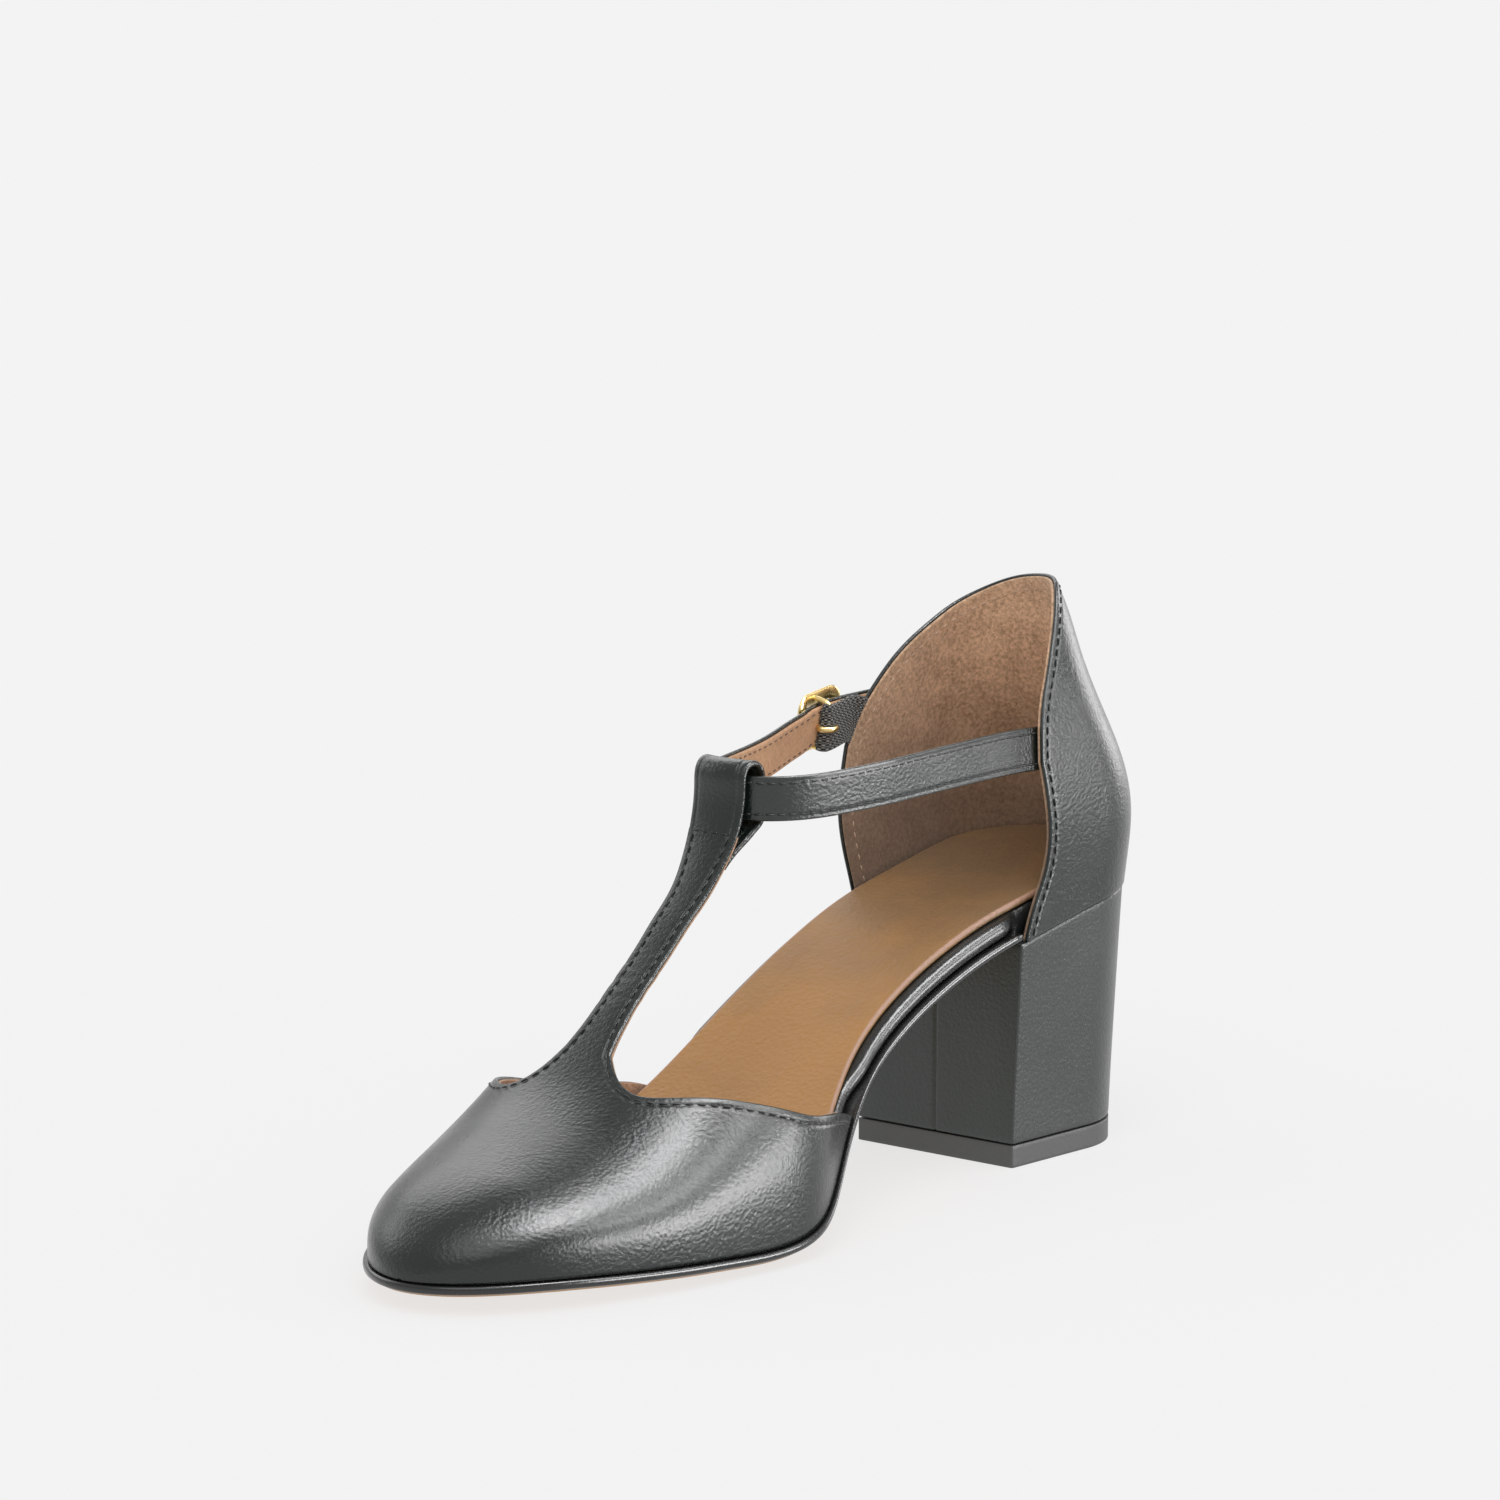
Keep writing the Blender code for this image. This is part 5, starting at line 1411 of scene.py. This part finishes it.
def strap_layer(middle, share, inset):
    """Closed rings of one layer of the strap, its middle and thickness as shares of STRAP_THICK."""
    line = strap_path.copy()
    line[:, :3] += strap_out * STRAP_THICK * middle
    return close_rings(sweep_band(line, band_section(STRAP_WIDTH - inset, STRAP_THICK * share, 9)))


def punch(item):
    """Cuts the prong's round hole through a layer with a Boolean whose result is kept as the mesh."""
    bpy.ops.mesh.primitive_cylinder_add(vertices=24, radius=HOLE_RADIUS, depth=4.0 * STRAP_THICK,
                                        location=origin - along * HOLE_SHIFT)
    cutter = bpy.context.object
    cutter.rotation_mode = "QUATERNION"
    cutter.rotation_quaternion = Vector(out_way).to_track_quat("Z", "Y")
    cut = item.modifiers.new("punch", "BOOLEAN")
    cut.operation = "DIFFERENCE"
    cut.solver = "EXACT"
    cut.object = cutter
    bpy.context.view_layer.update()
    shaped = bpy.data.meshes.new_from_object(item.evaluated_get(bpy.context.evaluated_depsgraph_get()))
    item.modifiers.clear()
    item.data = shaped
    bpy.data.objects.remove(cutter, do_unlink=True)


strap = ring_piece("ankle_strap", strap_layer(COVER_MIDDLE, COVER_SHARE, 0.0), [strap_leather],
                   slot="black_leather", node="ankle_strap")
strap_inside = ring_piece("ankle_strap_lining", strap_layer(BACK_MIDDLE, BACK_SHARE, BACK_INSET),
                          [strap_lining], slot="sock_leather")
for item in (strap, strap_inside):
    punch(item)
half_band = 0.5 * STRAP_WIDTH
rims = [strap_path[:, :3] + strap_up * half_band * sign for sign in (1.0, -1.0)]
edge_gap(strap, np.concatenate(rims))
rows = (("strap_stitches_", 1.0, 0.0019, 0.00019, black_thread, "black_leather"),
        ("strap_back_stitches_", -1.0, 0.0014, 0.00014, brown_thread, "sock_leather"))
for name, sign in (("upper", 1.0), ("lower", -1.0)):
    line = strap_path[SEWN_PART, :3] + strap_up[SEWN_PART] * sign * (half_band - STRAP_THREAD_DEPTH)
    for row, way, length, radius, thread, slot in rows:
        face_way = way * strap_out[SEWN_PART]
        stitch_row(row + name, line + face_way * 0.5 * STRAP_THICK, face_way,
                   STRAP_PITCH, length, radius, thread, slot)
print("strap:", round(float(chord_reach(strap_path[:, :3])[-1]) * 1000), "mm long")

# %% [markdown]
# The buckle is one brass casting with a wire prong. The frame is a rounded oblong of flattened rod,
# and the bar runs behind the strap between two posts. The prong begins as a coil round the bar, over
# the elastic's fold, comes up through the strap's hole and rests on the frame. To open it, the tail
# slides back and the prong swings on the bar.

# %% Buckle
def in_place(t, u, n):
    """A point of the buckle from its distances along, up and out."""
    t, u, n = (np.reshape(distance, (-1, 1)) for distance in (t, u, n))
    return origin + along * t + up_way * u + out_way * n


WEB_THICK = 0.0013
FRAME_BOW = 0.0011
FRAME_WIDE = 0.0032
FRAME_DEEP = 0.0012
FRAME_CORNER = 0.0022
FRAME_TALL = BUCKLE_HEIGHT + 0.0004
POST_RISE = 0.0006
POST_INSET = 0.0002
PRONG_DEPTH_SHARE = 0.62
WIRE_GAP = 0.0001
half_length = 0.5 * (BUCKLE_LENGTH - BUCKLE_WIRE)
half_height = 0.5 * (BUCKLE_HEIGHT - BUCKLE_WIRE)
rail_height = 0.5 * (FRAME_TALL - FRAME_WIDE)
lift = 0.5 * STRAP_THICK + 2.0 * SEAM_GAP + 0.5 * BUCKLE_WIRE
turn = np.linspace(0.0, 0.5 * np.pi, 15) + np.pi * np.array([[0.0], [0.5], [1.0], [1.5]])
end = np.array([[1], [-1], [-1], [1]]) * (half_length - FRAME_CORNER)
rail = np.array([[1], [1], [-1], [-1]]) * (rail_height - FRAME_CORNER)
t = (end + FRAME_CORNER * np.cos(turn)).ravel()
u = (rail + FRAME_CORNER * np.sin(turn)).ravel()
frame_line = in_place(t + BUCKLE_SHIFT, u, lift - FRAME_BOW * (t / half_length) ** 2)
deep = 0.5 * STRAP_THICK + SEAM_GAP + 0.5 * BUCKLE_BAR
bar_u = np.array([1.0, 0.96, 0.93, 0.5, 0.0, -0.5, -0.93, -0.96, -1.0]) * (half_height - POST_INSET)
bar_n = np.concatenate([[lift, POST_RISE - deep], np.full(5, -deep), [POST_RISE - deep, lift]])
bar_line = along_path(in_place(0.0 * bar_u, bar_u, bar_n), 60)
high = lift + 0.5 * BUCKLE_WIRE + 0.5 * PRONG_WIRE + WIRE_GAP
front = BUCKLE_SHIFT - half_length
coil = np.radians([286.0, 262.0, 225.0, 185.0])
wrap = 0.5 * (BUCKLE_BAR + PRONG_WIRE) + WEB_THICK + WIRE_GAP
rise_t = [-0.0012, -0.0007, -0.0011, -0.0022, 0.5 * front - 0.0008, front - 0.0004]
rise_n = [-0.0009, 0.0, high - 0.0012, high - 0.0002, high, high - 0.0006]
prong_t = np.concatenate([wrap * np.cos(coil), rise_t])
prong_n = np.concatenate([wrap * np.sin(coil) - deep, rise_n])
prong_line = along_path(in_place(prong_t, 0.0 * prong_t, prong_n), 70)
stack = [rod(frame_line, out_way, 0.5 * FRAME_WIDE, 0.5 * FRAME_DEEP, closed=True),
         rod(bar_line, along, 0.5 * BUCKLE_BAR, 0.5 * BUCKLE_BAR),
         rod(prong_line, up_way, 0.5 * PRONG_WIRE, PRONG_DEPTH_SHARE * PRONG_WIRE)]
meshes = [ring_mesh(rings) for rings in stack]
shift = np.cumsum([0] + [len(points) for points, _ in meshes[:-1]])
faces = np.concatenate([faces + k for (_, faces), k in zip(meshes, shift)])
make_piece("buckle", np.concatenate([points for points, _ in meshes]), faces, [brass],
           slot="polished_brass", node="buckle")
print("buckle:", round(BUCKLE_LENGTH * 1000, 1), "x", round(BUCKLE_HEIGHT * 1000, 1), "mm")

# %% [markdown]
# Knitted elastic joins the buckle's bar to the lateral cup, where its end is sewn between leather and
# lining. Its surface is a product of two waves, one across for the ribs and one along for the
# loops of yarn, offset from rib to rib like the stitches of a knit.

# %% Elastic
RIB = 0.00100
LOOP = 0.00125
YARN = 0.00026
SEWN_DEPTH = 0.0010
SEWN_LENGTH = 0.0032
SEWN_PLACES = (-0.0012, 0.0008, SEWN_LENGTH)
ELASTIC_LEAN = 0.180
FRONT_SIDE = -0.015
lateral = np.nonzero((cup_edge[:, 0] < 0.0) & (cup_edge[:, 1] < FRONT_SIDE))[0]
sewn = lateral[np.argmin(np.abs(cup_edge[lateral, 2] - origin[2]))]
inward = -cup_out[sewn]
wall = cup_edge[sewn] - cup_normals[cup_rim][sewn] * SEWN_DEPTH
turn = np.radians([158.0, 180.0, 210.0, 240.0, 270.0])
bend = 0.5 * (BUCKLE_BAR + WEB_THICK)
fold = in_place(bend * np.cos(turn), np.zeros(5), bend * np.sin(turn) - deep)
elastic_line = np.concatenate([fold, [wall + depth * inward for depth in SEWN_PLACES]])
elastic_lean = np.full(len(elastic_line), ELASTIC_LEAN)
elastic_path = along_path(np.column_stack([elastic_line, elastic_lean]), 130)
section = band_section(ELASTIC_WIDTH, WEB_THICK - 2.0 * YARN, 88, 3)
rings = sweep_band(elastic_path, section)
_, elastic_out, _ = strap_frame(elastic_path)
along_band = chord_reach(elastic_path[:, :3])[:, None]
rib = section[None, :, 1] / RIB
weave = np.cos(2.0 * np.pi * rib) * np.cos(2.0 * np.pi * along_band / LOOP + np.pi * np.round(rib))
side_way = np.sign(section[None, :, 0]) * (np.abs(section[None, :, 1]) < 0.46 * ELASTIC_WIDTH)
rings = rings + elastic_out[:, None] * (YARN * weave * side_way)[..., None]
elastic = ring_piece("elastic_gore", close_rings(rings), [yarn], slot="black_elastic", node="elastic_gore")
index, _ = nearest(own_points(elastic), rings.reshape(-1, 3).astype(np.float32))
store_value(elastic, "tuft", (0.5 + 0.5 * weave.ravel())[index])
print("elastic:", round(float(along_band[-1, 0]) * 1000, 1), "mm long")

# %% [markdown]
# The studio: a wide pale floor that glows a little, like a light table, under an even surround and a
# soft sun. Black leather shows mostly what it mirrors, so large panels stand around the shoe for its
# reflections only: two on the medial side draw the bright bands on the vamp, the others grey the sides.

# %% Floor and light
FLOOR_SIZE = 60.0
FLOOR_GLOW = 0.692
FLOOR_DROP = 0.00002
SURROUND = 0.58
SUN_WIDTH = 50.0
floor_points = np.array([[-1, -1, 0], [1, -1, 0], [1, 1, 0], [-1, 1, 0]], float) * 0.5 * FLOOR_SIZE
floor_mesh = bpy.data.meshes.new("floor")
floor_mesh.from_pydata((floor_points - (0.0, 0.0, FLOOR_DROP)).tolist(), [], [[0, 1, 2, 3]])
floor = bpy.data.objects.new("floor", floor_mesh)
bpy.context.scene.collection.objects.link(floor)
floor_paint, _, floor_shader = principled("floor_paint", (0.25, 0.25, 0.25), 0.9)
floor_shader.inputs["Specular IOR Level"].default_value = 0.0
floor_shader.inputs["Emission Color"].default_value = (1.0, 1.0, 1.0, 1.0)
floor_shader.inputs["Emission Strength"].default_value = FLOOR_GLOW
floor_mesh.materials.append(floor_paint)

world = bpy.data.worlds.new("surround")
world.use_nodes = True
world.node_tree.nodes["Background"].inputs["Color"].default_value = (1.0, 1.0, 1.0, 1.0)
world.node_tree.nodes["Background"].inputs["Strength"].default_value = SURROUND
bpy.context.scene.world = world


def aim(item, target):
    """Turns a light or camera so that it looks at a point."""
    item.rotation_mode = "QUATERNION"
    item.rotation_quaternion = (Vector(target) - item.location).to_track_quat("-Z", "Y")


def lamp(name, kind, place, target, energy):
    """A light at a place, turned to a target."""
    item = bpy.data.objects.new(name, bpy.data.lights.new(name, kind))
    item.data.energy = energy
    item.location = place
    bpy.context.scene.collection.objects.link(item)
    aim(item, target)
    return item


def panel(name, place, width, height, radiance):
    """A rectangular light that only glossy surfaces see: power = pi x area x radiance."""
    item = lamp(name, "AREA", place, SHOE, math.pi * width * height * radiance)
    item.data.shape = "RECTANGLE"
    item.data.size = width
    item.data.size_y = height
    item.visible_camera = False
    item.visible_diffuse = False


SHOE = (0.0, -0.10, 0.05)


def around(azimuth, elevation, distance):
    """A place around the shoe: azimuth 0 is in front of the toe and 90 on the medial side, in degrees."""
    turn, rise = math.radians(azimuth), math.radians(elevation)
    flat = distance * math.cos(rise)
    step = (flat * math.sin(turn), -flat * math.cos(turn), distance * math.sin(rise))
    return tuple(middle + shift for middle, shift in zip(SHOE, step))


sun = lamp("soft_sun", "SUN", (0.50, -0.55, 1.0), (0.0, 0.0, 0.0), 0.9)
sun.data.angle = math.radians(SUN_WIDTH)
panel("high_box", around(112.0, 65.0, 1.5), 0.90, 0.44, 20.5)
panel("side_box", around(122.0, 36.0, 1.5), 0.70, 0.30, 14.5)
panel("right_wall", around(117.0, 6.0, 1.9), 1.15, 0.56, 17.0)
panel("back_wall", around(177.0, 7.0, 2.0), 0.80, 0.80, 4.0)
panel("left_wall", around(-125.0, 38.0, 1.8), 1.30, 1.10, 1.7)
panel("left_front", around(-80.0, 26.0, 1.8), 1.00, 0.80, 1.5)
bpy.context.scene.view_settings.view_transform = "Standard"

# %% [markdown]
# The camera stands low in front of the shoe on its medial side with a long lens. Its place is
# aim + back distance, where back points from the shoe to the camera. A small roll levels the picture.

# %% Camera
CAMERA_AZIMUTH = 40.549
CAMERA_ELEVATION = 8.986
CAMERA_ROLL = 0.285
CAMERA_DISTANCE = 1.3307
CAMERA_AIM = (0.0, -0.0838, 0.0567)
CAMERA_SHIFT = (-0.00364, 0.04262)
CAMERA_LENS = 146.1
azimuth, elevation, roll = (math.radians(v) for v in (CAMERA_AZIMUTH, CAMERA_ELEVATION, CAMERA_ROLL))
flat = math.cos(elevation)
back_way = Vector((math.sin(azimuth) * flat, -math.cos(azimuth) * flat, math.sin(elevation)))
right_way = Vector((math.cos(azimuth), math.sin(azimuth), 0.0))
level_up = back_way.cross(right_way)
picture_right = right_way * math.cos(roll) + level_up * math.sin(roll)
picture_up = level_up * math.cos(roll) - right_way * math.sin(roll)
camera_data = bpy.data.cameras.new("camera")
camera_data.sensor_width = 36.0
camera_data.lens = CAMERA_LENS
camera_data.dof.use_dof = False
camera_data.clip_start = 0.05
camera_data.clip_end = 100.0
camera = bpy.data.objects.new("camera", camera_data)
bpy.context.scene.collection.objects.link(camera)
camera.location = (Vector(CAMERA_AIM) + back_way * CAMERA_DISTANCE + picture_right * CAMERA_SHIFT[0]
                   + picture_up * CAMERA_SHIFT[1])
camera.rotation_mode = "QUATERNION"
camera.rotation_quaternion = Matrix((picture_right, picture_up, back_way)).transposed().to_quaternion()
bpy.context.scene.camera = camera
print("camera", [round(v, 3) for v in camera.location])
